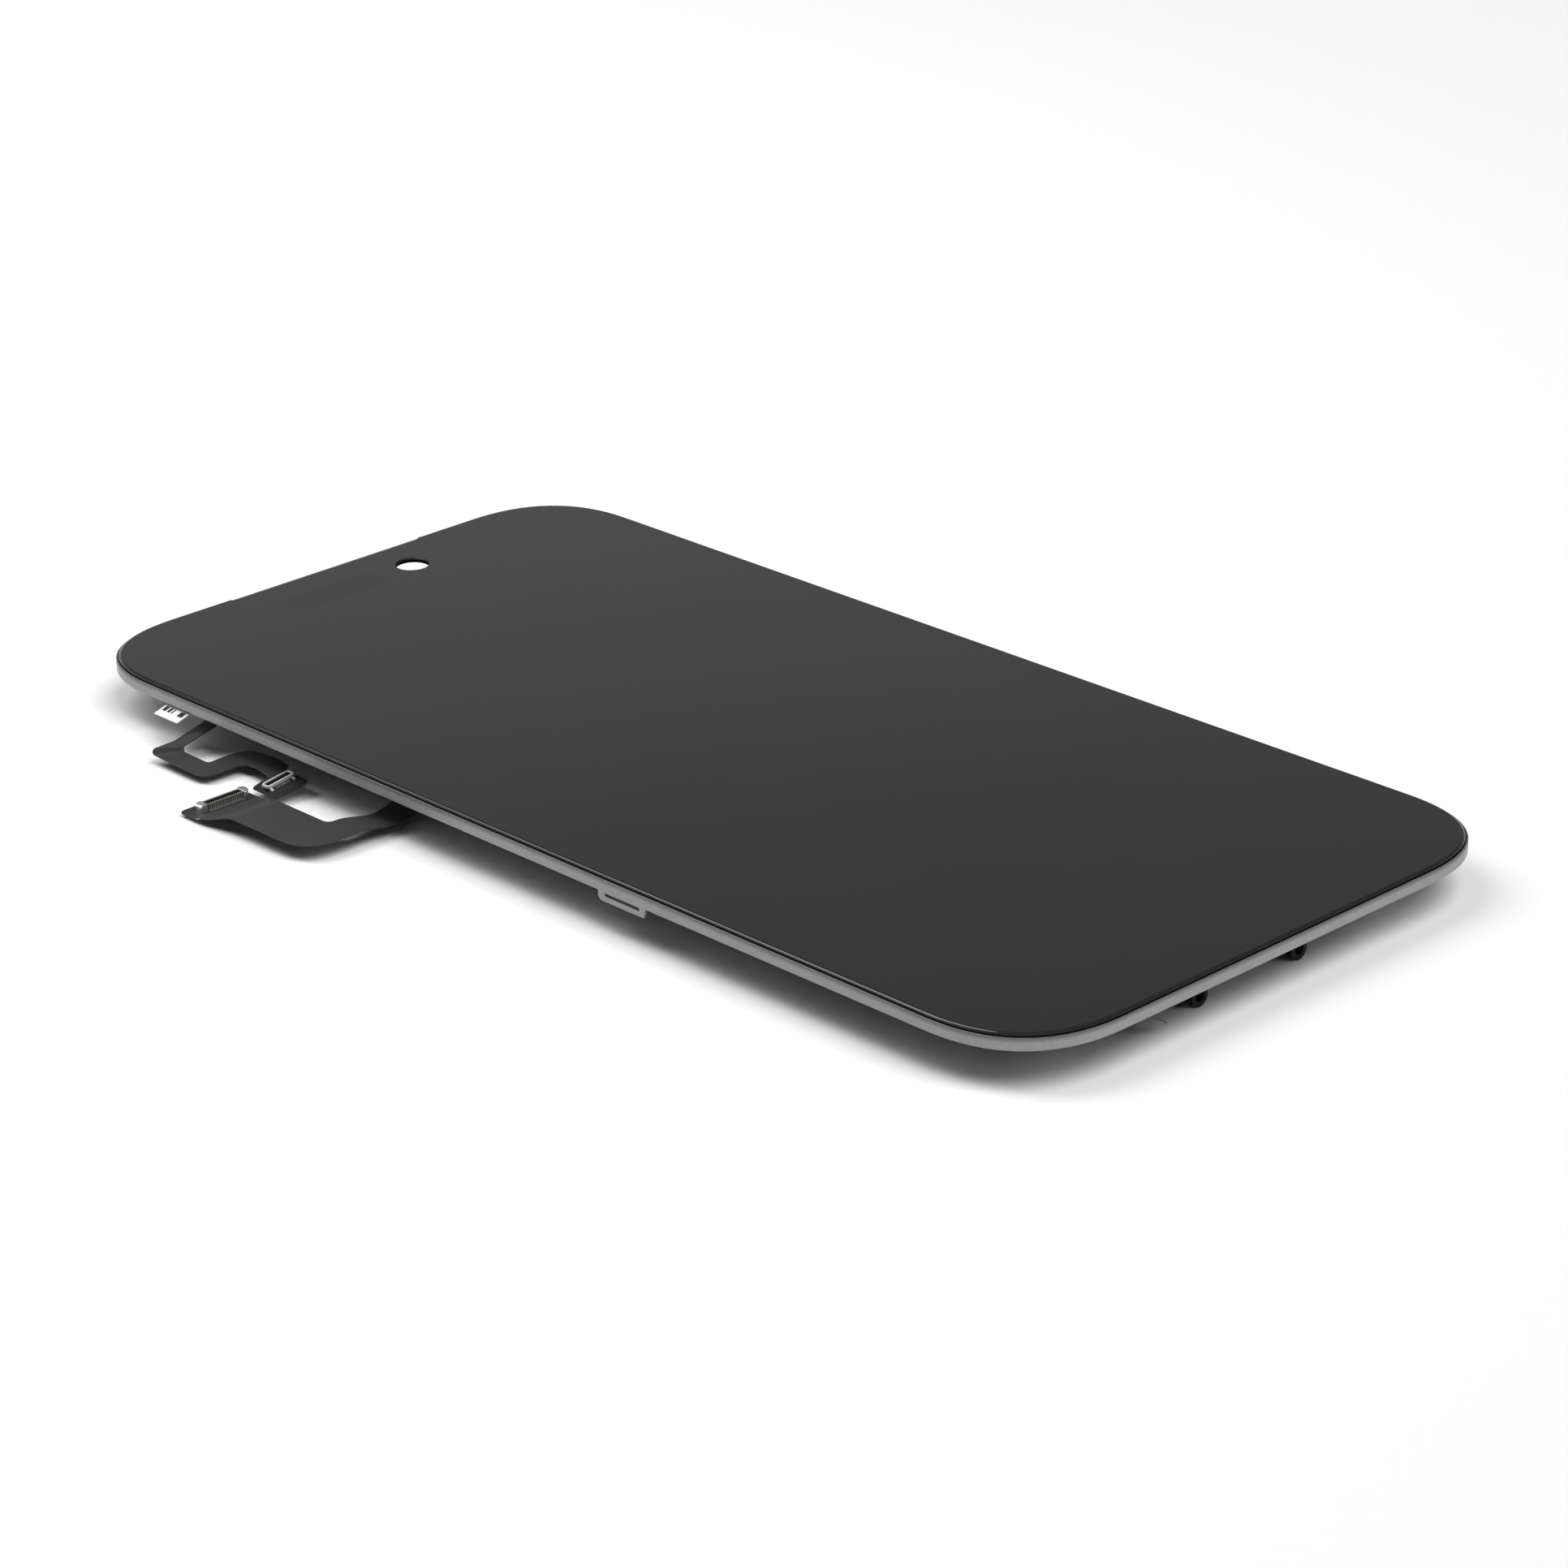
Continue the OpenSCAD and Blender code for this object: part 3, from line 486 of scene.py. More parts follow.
def finish(name, base, rough, metal=0.0, grain=0.2 * MM, stretch=(1, 1, 1), shade=0.08,
           rough_spread=0.06, bump=0.15, depth=0.01 * MM, cloud=6 * MM, cloud_shade=0.06, specular=0.5):
    """A finish with a fine grain and a broad cloudiness in its colour, roughness and height."""
    n = Nodes(name)
    spot = n.place(stretch)
    fine = n.noise(spot, grain)
    broad = n.noise(n.place(), cloud, 2)
    tone = n.blend(n.spread(fine, 0, 1), rgba(base, 1 - shade), rgba(base, 1 + shade))
    tone = n.blend(n.spread(broad, 0, cloud_shade), tone, rgba(base, 0.5))
    n.link(tone, "Base Color")
    n.link(n.spread(fine, rough - rough_spread, rough + rough_spread), "Roughness")
    n.shader.inputs["Metallic"].default_value = metal
    n.shader.inputs["Specular IOR Level"].default_value = specular
    n.bump(fine, bump, depth)
    return n.material


def glass_finish(base):
    """Black glass: an even gloss with a little cloudiness, a darker pill-shaped sensor window, and a side
    painted black and matt below its rounded edge as painted shade of the gap to the frame.
    """
    n = Nodes("cover_glass_black")
    spot = n.place()
    parts = n.split(spot)
    off = n.math("ABSOLUTE", n.math("ADD", parts[0], 3.8 * MM))
    dx = n.math("MAXIMUM", n.math("SUBTRACT", off, 4.4 * MM), 0)
    dy = n.math("SUBTRACT", parts[1], 65 * MM)
    far = n.math("SQRT", n.math("ADD", n.math("MULTIPLY", dx, dx), n.math("MULTIPLY", dy, dy)))
    window = n.add("ShaderNodeMapRange", {0: far, 1: 1.9 * MM, 2: 2.3 * MM, 3: 1, 4: 0}).outputs[0]
    cloud = n.noise(spot, 18 * MM, 2)
    tone = n.blend(n.spread(cloud, 0, 1), rgba(base, 0.94), rgba(base, 1.06))
    tone = n.blend(n.math("MULTIPLY", window, 0.35), tone, (0.002, 0.002, 0.002, 1))
    # Painted shade: below its rounded edge the glass's side is black, matt and less glossy, standing in
    # for the shaded gap between glass and frame.
    side = n.add("ShaderNodeMapRange", {
        0: parts[2], 1: -0.27 * MM, 2: -0.22 * MM, 3: 1, 4: 0}).outputs[0]
    n.link(n.blend(side, tone, (0.001, 0.001, 0.001, 1)), "Base Color")
    gloss = n.spread(cloud, 0.06, 0.09)
    n.link(n.math("ADD", gloss, n.math("MULTIPLY", side, 0.7)), "Roughness")
    n.link(n.math("MULTIPLY_ADD", side, -0.46, 0.5), "Specular IOR Level")
    return n.material


def circuit_finish(name, base, head, fade, tone):
    """Matt film over copper, with fine lengthwise traces.

    Its cover film ends before the connector: from there on it has another tone. On the touch circuit this
    darker tone is partly painted shade from the screen above its head.
    """
    n = Nodes(name)
    sheet = n.add("ShaderNodeUVMap", uv_map="sheet").outputs[0]
    parts = n.split(sheet)
    wave = n.math("SINE", n.math("MULTIPLY", parts[0], 2 * math.pi / (0.3 * MM)))
    trace = n.add("ShaderNodeMapRange", {0: wave, 1: -0.1, 2: 0.3, 3: 0, 4: 1}).outputs[0]
    trace = n.math("MULTIPLY", trace, n.spread(n.noise(sheet, 2.5 * MM, 2), 0.35, 1))
    # From the head on the tone changes; on the touch circuit the darkening is partly painted shade.
    head_tone_and_shade = n.add("ShaderNodeMapRange", {0: parts[1], 1: head, 2: head + fade, 3: 1, 4: 0}).outputs[0]
    off = n.math("ABSOLUTE", n.math("SUBTRACT", parts[1], head))
    line = n.math("LESS_THAN", off, 0.07 * MM)
    grain = n.noise(n.place(), 0.12 * MM)
    film = n.blend(n.spread(grain, 0, 1), rgba(base, 0.9), rgba(base, 1.1))
    film = n.blend(n.math("MULTIPLY", trace, 0.25), film, rgba(base, 1.5))
    film = n.blend(head_tone_and_shade, film, rgba(base, tone))
    n.link(n.blend(n.math("MULTIPLY", line, 0.5), film, rgba(base, 3)), "Base Color")
    n.link(n.spread(grain, 0.42, 0.55), "Roughness")
    n.shader.inputs["Specular IOR Level"].default_value = 0.4
    n.bump(n.math("ADD", trace, n.math("MULTIPLY", grain, 0.3)), 0.35, 0.012 * MM)
    return n.material


def band_finish(base, top):
    """Satin grey metal with a fine blasted grain, painted darker towards its upper edge: painted shade
    for the dark reflection that its rounded upper rim shows.
    """
    n = Nodes("satin_frame")
    parts = n.split(n.place())
    # Painted shade: the colour darkens towards the upper edge in place of the dark reflection in the
    # rounded upper rim.
    edge = n.add("ShaderNodeMapRange", {
        0: parts[2], 1: top - 0.6 * MM, 2: top - 0.05 * MM, 3: 0, 4: 0.62},
        interpolation_type="SMOOTHSTEP").outputs[0]
    grain = n.noise(n.place(), 0.14 * MM)
    cloud = n.noise(n.place(), 5 * MM, 2)
    tone = n.blend(n.spread(grain, 0, 1), rgba(base, 0.8), rgba(base, 1.2))
    tone = n.blend(n.spread(cloud, 0, 0.18), tone, rgba(base, 0.5))
    n.link(n.blend(edge, tone, rgba(base, 0.16)), "Base Color")
    n.link(n.spread(grain, 0.36, 0.5), "Roughness")
    n.shader.inputs["Metallic"].default_value = 0.4
    n.shader.inputs["Specular IOR Level"].default_value = 0.3
    n.bump(grain, 0.35, 0.008 * MM)
    return n.material


def tray_finish(steel, black):
    """Brushed steel with a black heat-spreading sheet on its back, a little smaller than the tray."""
    n = Nodes("brushed_steel")
    parts = n.split(n.place())
    across = n.math("LESS_THAN", n.math("ABSOLUTE", parts[0]), 31.6 * MM)
    along = n.math("LESS_THAN", n.math("ABSOLUTE", n.math("ADD", parts[1], 4.8 * MM)), 62 * MM)
    below = n.math("LESS_THAN", parts[2], -2.2 * MM)
    sheet = n.math("MULTIPLY", below, n.math("MULTIPLY", across, along))
    lines = n.noise(n.place((1, 0.02, 1)), 0.12 * MM)
    grain = n.noise(n.place(), 0.25 * MM)
    metal = n.blend(n.spread(lines, 0, 1), rgba(steel, 0.94), rgba(steel, 1.05))
    film = n.blend(n.spread(grain, 0, 1), rgba(black, 0.8), rgba(black, 1.25))
    n.link(n.blend(sheet, metal, film), "Base Color")
    n.link(n.math("SUBTRACT", 1, sheet), "Metallic")
    n.link(n.math("ADD", n.spread(lines, 0.25, 0.4), n.math("MULTIPLY", sheet, 0.2)), "Roughness")
    n.bump(n.blend(sheet, lines, grain), 0.1, 0.004 * MM)
    return n.material


def label_finish(paper, ink):
    """White paper with fibres and a row of plain bars next to the frame."""
    n = Nodes("label_paper")
    sheet = n.add("ShaderNodeUVMap", uv_map="sheet").outputs[0]
    parts = n.split(sheet)
    step = n.math("FLOOR", n.math("MULTIPLY", parts[0], 1 / (0.22 * MM)))
    dice = n.add("ShaderNodeTexWhiteNoise", {"W": step}, noise_dimensions="1D").outputs["Value"]
    bar = n.math("GREATER_THAN", dice, 0.42)
    inside = n.math("LESS_THAN", n.math("ABSOLUTE", parts[0]), 1.7 * MM)
    near = n.math("LESS_THAN", n.math("ABSOLUTE", n.math("SUBTRACT", parts[1], 1.25 * MM)),
                  0.4 * MM)
    print_ = n.math("MULTIPLY", bar, n.math("MULTIPLY", inside, near))
    fibre = n.noise(n.place((1, 3, 1)), 0.08 * MM)
    tone = n.blend(n.spread(fibre, 0, 1), rgba(paper, 0.95), rgba(paper, 1.03))
    n.link(n.blend(print_, tone, rgba(ink)), "Base Color")
    n.link(n.spread(fibre, 0.75, 0.9), "Roughness")
    n.bump(fibre, 0.2, 0.01 * MM)
    return n.material


# Operators, one for each piece or group of like pieces


class ScreenOperator:
    bl_options = {"REGISTER", "UNDO"}

    def execute(self, context):
        self.build(context.scene.screen_sizes, context.scene.screen_colours)
        return {"FINISHED"}


class ASSEMBLY_OT_stage(ScreenOperator, bpy.types.Operator):
    """Sets up the floor, the lamps, the surroundings and the camera"""
    bl_idname = "assembly.stage"
    bl_label = "Stage"

    def build(self, sizes, colours):
        floor = start(bpy.ops.mesh.primitive_plane_add, size=4)
        bpy.ops.transform.translate(value=(0, 0, CAD_BOX[0][2]))
        settle(floor)
        floor.name = "floor"
        floor.data.materials.append(finish(
            "floor_white", colours.floor, 0.9, grain=2 * MM, shade=0.004, cloud=90 * MM,
            cloud_shade=0.004, bump=0.02, specular=0))
        self.lamp("front_light", (0.07, -0.46, 0.88), 46, 2.2)
        self.lamp("side_light", (0.45, -0.82, 0.36), 30, 0.5)
        self.softbox("back_light", (-0.191, 0.29, 0.54), (-0.27, 0.41, 0.87), (0.32, 0.52), 2.3)
        self.surroundings()
        self.camera()

    def lamp(self, name, way, spread, strength):
        """A broad far light from one direction."""
        bpy.ops.object.light_add(type="SUN")
        lamp = bpy.context.object
        lamp.name = name
        lamp.rotation_euler = Vector(way).to_track_quat("Z", "Y").to_euler()
        lamp.data.angle = math.radians(spread)
        lamp.data.energy = strength
        lamp.visible_glossy = False

    def softbox(self, name, place, way, size, power):
        """A large lamp that hangs behind the upper left corner and faces down to the screen."""
        bpy.ops.object.light_add(type="AREA", location=place)
        lamp = bpy.context.object
        lamp.name = name
        lamp.rotation_euler = Vector(way).to_track_quat("Z", "Y").to_euler()
        lamp.data.shape = "RECTANGLE"
        lamp.data.size, lamp.data.size_y = size
        lamp.data.energy = power

    def surroundings(self):
        """A studio that is pale round the horizon and dark above, and dim where it lights surfaces."""
        world = bpy.data.worlds.new("studio")
        bpy.context.scene.world = world
        world.use_nodes = True
        tree = world.node_tree

        def add(kind, values, **settings):
            node = tree.nodes.new(kind)
            for name, value in settings.items():
                setattr(node, name, value)
            for i, value in values.items():
                if isinstance(value, bpy.types.NodeSocket):
                    tree.links.new(value, node.inputs[i])
                else:
                    node.inputs[i].default_value = value
            return node

        spot = add("ShaderNodeTexCoord", {}).outputs["Generated"]
        parts = add("ShaderNodeSeparateXYZ", {0: spot}).outputs
        rise = add("ShaderNodeMapRange", {0: parts[2], 1: 0.2, 2: 0.52, 3: 0.78, 4: 0.24},
                   interpolation_type="SMOOTHSTEP").outputs[0]
        side = add("ShaderNodeMath", {0: parts[0], 1: -0.55, 2: 1.0},
                   operation="MULTIPLY_ADD").outputs[0]
        shown = add("ShaderNodeMath", {0: rise, 1: side}, operation="MULTIPLY").outputs[0]
        ray = add("ShaderNodeLightPath", {}).outputs
        seen = add("ShaderNodeMath", {0: ray["Is Glossy Ray"], 1: ray["Is Transmission Ray"]},
                   operation="MAXIMUM").outputs[0]
        level = add("ShaderNodeMix", {0: seen, 2: 0.02, 3: shown}).outputs[0]
        level = add("ShaderNodeMath", {0: level, 1: ray["Is Camera Ray"]},
                    operation="MAXIMUM").outputs[0]
        sky = tree.nodes["Background"]
        sky.inputs["Color"].default_value = (1, 1, 1, 1)
        tree.links.new(level, sky.inputs["Strength"])

    def camera(self):
        """The camera that took the photograph, from its edges and corners."""
        bpy.ops.object.camera_add(location=(-0.31855, -0.34198, 0.19618),
                                  rotation=[math.radians(a) for a in (66.639, 1.166, -43.793)])
        camera = bpy.context.object
        camera.name = "camera"
        camera.data.sensor_width = 36
        camera.data.lens = 111.652
        camera.data.clip_start = 0.01
        bpy.context.scene.camera = camera
        bpy.context.scene.view_settings.view_transform = "Standard"


class ASSEMBLY_OT_cover_glass(ScreenOperator, bpy.types.Operator):
    """Models the cover glass with its rounded edge, sound notch and camera hole"""
    bl_idname = "assembly.cover_glass"
    bl_label = "Cover Glass"

    def build(self, sizes, colours):
        low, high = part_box("cover_glass")
        glass = screen_plate(sizes.glass_inset, high.z, high.z - low.z, 36)
        notch_y = high.y - NOTCH_DEPTH
        notch = slab((-NOTCH_HALF, notch_y, low.z - MM), (NOTCH_HALF, high.y + MM, high.z + MM))
        select("EDGE", lambda e: spans(e).z > MM and middle(e).y < notch_y + 0.1 * MM)
        bpy.ops.mesh.bevel(offset=0.12 * MM, segments=3)
        hole_at = Vector((*HOLE_AT, 0))
        hole = rod(HOLE_RADIUS, 4 * MM, hole_at, "Z", 72)
        combine(glass, "DIFFERENCE", notch, hole)
        bpy.ops.object.mode_set(mode="EDIT")

        def at_hole(e):
            return all(abs((v.co.xy - hole_at.xy).length - HOLE_RADIUS) < 0.02 * MM
                       and abs(v.co.z - high.z) < 1e-6 for v in e.verts)

        def at_rim(e):
            return (all(abs(v.co.z - high.z) < 1e-6 for v in e.verts) and not at_hole(e)
                    and any(f.normal.z < 0.5 for f in e.link_faces))

        if not select("EDGE", at_hole):
            raise RuntimeError("the glass has no camera hole to bevel")
        bpy.ops.mesh.bevel(offset=0.15 * MM, segments=2)
        select("EDGE", at_rim)
        bpy.ops.mesh.bevel(offset=sizes.glass_round, segments=7)
        even_normals(glass)
        finish_piece(glass, "glass_sheet", "black_glass", glass_finish(colours.glass), "cover_glass",
                     smooth=50)
        shape(glass, "WEIGHTED_NORMAL", weight=100, keep_sharp=True)


class ASSEMBLY_OT_bezel_frame(ScreenOperator, bpy.types.Operator):
    """Models the bezel frame with its shelf for the glass and a slotted clip on each side"""
    bl_idname = "assembly.bezel_frame"
    bl_label = "Bezel Frame"

    def build(self, sizes, colours):
        top, bottom = FRAME_TOP, FRAME_BOTTOM
        band = screen_plate(0, top, top - bottom, 36)
        seat = screen_plate(0.2 * MM, top + MM, MM + 0.3 * MM, 36)
        opening = screen_plate(sizes.frame_rim, top + MM, 4 * MM)
        combine(band, "DIFFERENCE", seat, opening)
        soften(band, 0.08 * MM, 3, 40)
        clips = (soften(self.clip(side, bottom), 0.04 * MM, 2, 40) for side in (-1, 1))
        combine(band, "UNION", *clips)
        finish_piece(band, "bezel_band", "frame_metal", band_finish(colours.band, top), "bezel_frame")
        shape(band, "WEIGHTED_NORMAL", weight=60, keep_sharp=True)

    def clip(self, side, bottom):
        """One clip that stands down from the frame's side, with a slot in it."""
        y = CLIP_Y
        xs = sorted((FRAME_WALL * side, (FRAME_WALL - CLIP_SHEET) * side))
        clip = slab((xs[0], y - CLIP_HALF, bottom - CLIP_DROP), (xs[1], y + CLIP_HALF, bottom + 0.3 * MM))

        def lower(upper_end):
            return lambda e: (spans(e).x > 0.1 * MM and middle(e).z < bottom - 0.9 * MM
                              and (middle(e).y > y) == upper_end)

        select("EDGE", lower(True))
        bpy.ops.mesh.bevel(offset=0.55 * MM, segments=5)
        select("VERT", lambda v: v.co.z < bottom - 0.99 * MM and v.co.y < y)
        bpy.ops.transform.translate(value=(0, 0.35 * MM, 0))
        slot = slab((xs[0] - MM, y - SLOT_HALF, bottom - 0.43 * MM),
                    (xs[1] + MM, y + SLOT_HALF, bottom - 0.08 * MM))
        select("EDGE", lambda e: spans(e).x > MM)
        bpy.ops.mesh.bevel(offset=0.08 * MM, segments=2)
        return combine(clip, "DIFFERENCE", slot)


class ASSEMBLY_OT_display_tail(ScreenOperator, bpy.types.Operator):
    """Models the display circuit: its fold round the panel, its flat run and its free tail"""
    bl_idname = "assembly.display_tail"
    bl_label = "Display Circuit"

    def build(self, sizes, colours):
        end, back, ledge = -68.6, BACK_FACE, -1.02
        middle_z, radius = (ledge + 0.12 + back - 0.12) / 2, (ledge + 0.12 - (back - 0.12)) / 2
        fold = [gate((12, end + 1.48, ledge + 0.12), (-12, end + 1.48, ledge + 0.12))]
        for i in range(17):
            a = math.radians(180 * i / 16)
            y, z = end - radius * math.sin(a), middle_z + radius * math.cos(a)
            fold.append(gate((12, y, z), (-12, y, z)))
        fold += [gate((12, end + 10.5, back - 0.12), (-12, end + 5.5, back - 0.12)),
                 gate((-19, end + 15.5, back - 0.12), (-25, end + 10.5, back - 0.12)),
                 gate((-19, 22.8, back - 0.12), (-25, 22.8, back - 0.12))]
        flat = ribbon(fold[::-1], sizes.flex_thickness, lower=True)
        dip = gate((-33.4, 18.3, -4.85), (-33.4, 22.6, -5.05))
        head = gate((-46.7, 36, -5.4), (-38.5, 36, -5.5))
        tail = stretch(gate((-25, 18.5, back), (-25, 22.8, back)), dip, 20)
        tail += stretch(dip, gate((-38.9, 18.1, -4.1), (-38.9, 22.3, -4.1)), 10)
        tail += turn((-38.9, 23.1), 0.8, (4.2, 6.1), ((0, -1), (-1, 0)), (-4.1, -4.1), 3.2, False, 18)
        crest = gate((-46, 30, -4), (-39.7, 30, -4.1))
        slope = gate((-46.7, 34.6, -5.05), (-38.5, 34.6, -5.45))
        tail += stretch(crest, slope, 12)
        tail += stretch(slope, head, 3)
        tail += [head]
        tail += round_end(gate((-46.7, 37.7, -5.5), (-38.5, 37.7, -5.5)), 0.7, (0, 1, 0), 8)
        free = ribbon(tail, sizes.flex_thickness)
        circuit = join([flat, free])
        soften(circuit, 0.02 * MM, 1, 60)
        finish_piece(circuit, "display_tail", "flex_film", circuit_finish(
            "display_circuit_film", colours.flex, 3.35 * MM, 0.02 * MM, 0.75), "display_flex")


class ASSEMBLY_OT_touch_tail(ScreenOperator, bpy.types.Operator):
    """Models the touch circuit: its pad on the back plate and its winding free tail"""
    bl_idname = "assembly.touch_tail"
    bl_label = "Touch Circuit"

    def build(self, sizes, colours):
        back = BACK_FACE
        pad = ribbon([gate((x, 46.6, back), (x, 54.6, back)) for x in (-28, -24, -19)],
                     sizes.flex_thickness)

        def head_z(x):
            return -4.6 + (x + 35.5) * math.tan(math.radians(8))

        def head_gate(y, grow):
            right, left = -33.8 + grow, -38.3 - grow
            return gate((right, y, head_z(right)), (left, y, head_z(left)))

        bend = gate((-31, 49.7, -2.75), (-31, 51.6, -2.75))
        neck = gate((-32.9, 37.3, head_z(-32.9)), (-35.6, 37.3, head_z(-35.6)))
        tail = stretch(gate((-28, 49.7, back), (-28, 51.6, back)), bend, 8, 1.5)
        tail += stretch(bend, gate((-37.2, 49.7, -4.25), (-37.2, 51.6, -4.25)), 8, 1)
        tail += turn((-37.2, 49.5), 0.2, (1.9, 2.8), ((0, 1), (-1, 0)), (-4.25, -4.85), 24, True, 14)
        tail += turn((-36.9, 45.9), 0.5, (2.8, 3), ((-1, 0), (0, -1)), (-4.9, -4.9), 5.5, True, 14)
        tail += turn((-36, 41.8), 0.6, (3, 3.2), ((0, 1), (1, 0)), (-4.85, -4.55), 3, False, 12)
        tail += stretch(gate((-32.2, 39.6, -4.45), (-35.4, 39.6, -4.45)), neck, 6)
        tail += [neck, head_gate(36.9, -0.3), head_gate(36.6, 0)]
        tail += round_end(head_gate(33.4, 0), 0.8, (0, -1, 0), 8)
        free = ribbon(tail, sizes.flex_thickness)
        circuit = join([pad, free])
        soften(circuit, 0.02 * MM, 1, 60)
        # The head's darker tone, 0.35 over a 2 mm fade, is partly painted shade from the screen above it.
        finish_piece(circuit, "touch_tail", "flex_film", circuit_finish(
            "touch_circuit_film", colours.flex, 4.4 * MM, 2 * MM, 0.35), "touch_flex")


def rounded_block(length, width, height, radius, low=0.0):
    """A block with rounded upright corners that stands at a height over the origin."""
    block = slab((-length / 2, -width / 2, low), (length / 2, width / 2, low + height))
    select("EDGE", lambda e: spans(e).z > height / 2)
    bpy.ops.mesh.bevel(offset=radius, segments=5)
    return block


def both_sides(piece):
    """Gives a shape its twin, turned half round the upright axis."""
    settle(piece)
    bpy.ops.object.duplicate(linked=False)
    other = bpy.context.object
    bpy.ops.object.mode_set(mode="EDIT")
    bpy.ops.mesh.select_all(action="SELECT")
    bpy.ops.transform.rotate(value=math.pi, orient_axis="Z", center_override=(0, 0, 0))
    return join([piece, other])


def contact_row(length, width, height, pitch):
    """Both rows of contacts: each has a foot on the circuit, a leg up the wall and a turned-in top."""
    wide, thick, y = 0.12 * MM, 0.12 * MM, width / 2
    contact = slab((-wide / 2, y, 0), (wide / 2, y + 0.4 * MM, thick))
    leg = slab((-wide / 2, y - 0.02 * MM, 0), (wide / 2, y + 0.09 * MM, height))
    top = slab((-wide / 2, y - 0.14 * MM, height - 0.07 * MM),
               (wide / 2, y + 0.09 * MM, height + 0.03 * MM))
    combine(contact, "UNION", leg, top)
    soften(contact, 0.03 * MM, 2, 40)
    count = int((length - 1.4 * MM) / pitch)
    settle(contact)
    bpy.ops.object.mode_set(mode="EDIT")
    bpy.ops.mesh.select_all(action="SELECT")
    bpy.ops.transform.translate(value=(-pitch * (count - 1) / 2, 0, 0))
    return both_sides(copies(contact, [(pitch * i, 0, 0) for i in range(1, count)]))


def put(piece, place, tilt=0.0):
    """Moves a connector's piece from the origin to its place on a head."""
    settle(piece)
    bpy.ops.object.mode_set(mode="EDIT")
    bpy.ops.mesh.select_all(action="SELECT")
    if tilt:
        bpy.ops.transform.rotate(value=tilt, orient_axis="Y", center_override=(0, 0, 0))
    bpy.ops.transform.translate(value=place)
    return settle(piece)


class ASSEMBLY_OT_display_connector(ScreenOperator, bpy.types.Operator):
    """Models the display connector: housing, end anchors and two rows of contacts"""
    bl_idname = "assembly.display_connector"
    bl_label = "Display Connector"

    def build(self, sizes, colours):
        place = Vector((-42.2, 36.8, -5.5)) * MM
        long, wide, high = 6.1 * MM, 1 * MM, 0.75 * MM
        housing = rounded_block(long, wide, high, 0.3 * MM)
        pocket = rounded_block(long - 1.4 * MM, wide - 0.5 * MM, high, 0.15 * MM, 0.2 * MM)
        combine(housing, "DIFFERENCE", pocket)
        soften(housing, 0.04 * MM)
        put(housing, place)
        finish_piece(housing, "display_housing", "black_plastic", finish(
            "connector_plastic", colours.black_plastic, 0.38, grain=0.05 * MM), "display_plug")
        anchors = rounded_block(long + 0.24 * MM, wide + 0.24 * MM, high + 0.12 * MM, 0.42 * MM)
        room = rounded_block(long, wide, high + MM, 0.3 * MM, -MM)
        gap = slab((-long / 2 + 0.7 * MM, -wide, -MM), (long / 2 - 0.7 * MM, wide, 2 * high))
        combine(anchors, "DIFFERENCE", room, gap)
        soften(anchors, 0.05 * MM, 3)
        put(anchors, place)
        finish_piece(anchors, "display_end_anchors", "bright_metal", finish(
            "bright_plating", colours.bright, 0.17, metal=0.9, grain=0.06 * MM, rough_spread=0.05),
            "display_anchors")
        contacts = contact_row(long, wide, high, sizes.contact_pitch)
        put(contacts, place)
        finish_piece(contacts, "display_contact_rows", "contact_metal", finish(
            "plated_contacts", colours.contact, 0.24, metal=0.85, grain=0.05 * MM), "display_contacts")


class ASSEMBLY_OT_touch_connector(ScreenOperator, bpy.types.Operator):
    """Models the touch connector: housing, bright rim and two rows of contacts"""
    bl_idname = "assembly.touch_connector"
    bl_label = "Touch Connector"

    def build(self, sizes, colours):
        place = Vector((-35.95, 35.2, -4.66)) * MM
        tilt = math.radians(8)
        long, wide, high = 3.5 * MM, 1 * MM, 0.45 * MM
        housing = rounded_block(long, wide, high, 0.3 * MM)
        pocket = rounded_block(long - 0.5 * MM, wide - 0.5 * MM, high, 0.12 * MM, 0.2 * MM)
        combine(housing, "DIFFERENCE", pocket)
        soften(housing, 0.03 * MM)
        put(housing, place, tilt)
        finish_piece(housing, "touch_housing", "black_plastic", finish(
            "connector_plastic_small", colours.black_plastic, 0.38, grain=0.05 * MM), "touch_plug")
        rim = rounded_block(long + 0.24 * MM, wide + 0.24 * MM, 0.345 * MM, 0.42 * MM, 0.225 * MM)
        inner = rounded_block(long, wide, high, 0.3 * MM)
        opening = rounded_block(long - 0.25 * MM, wide - 0.25 * MM, 2 * high, 0.15 * MM)
        combine(rim, "DIFFERENCE", inner, opening)
        soften(rim, 0.04 * MM, 3)
        tabs = []
        for x in (-long / 2 + 0.3 * MM, long / 2 - 0.3 * MM):
            tab = slab((x - 0.175 * MM, wide / 2, 0), (x + 0.175 * MM, wide / 2 + 0.4 * MM, 0.12 * MM))
            leg = slab((x - 0.175 * MM, wide / 2, 0), (x + 0.175 * MM, wide / 2 + 0.12 * MM, high / 2))
            tabs.append(soften(combine(tab, "UNION", leg), 0.03 * MM, 2, 40))
        rim = join([rim, both_sides(join(tabs))])
        put(rim, place, tilt)
        finish_piece(rim, "touch_rim", "bright_metal", finish(
            "bright_plating_small", colours.bright, 0.2, metal=0.5, grain=0.06 * MM), "touch_shell")
        contacts = contact_row(long, wide, high / 2, sizes.contact_pitch)
        put(contacts, place, tilt)
        finish_piece(contacts, "touch_contact_rows", "contact_metal", finish(
            "plated_contacts_small", colours.contact, 0.24, metal=0.85, grain=0.05 * MM),
            "touch_contacts")


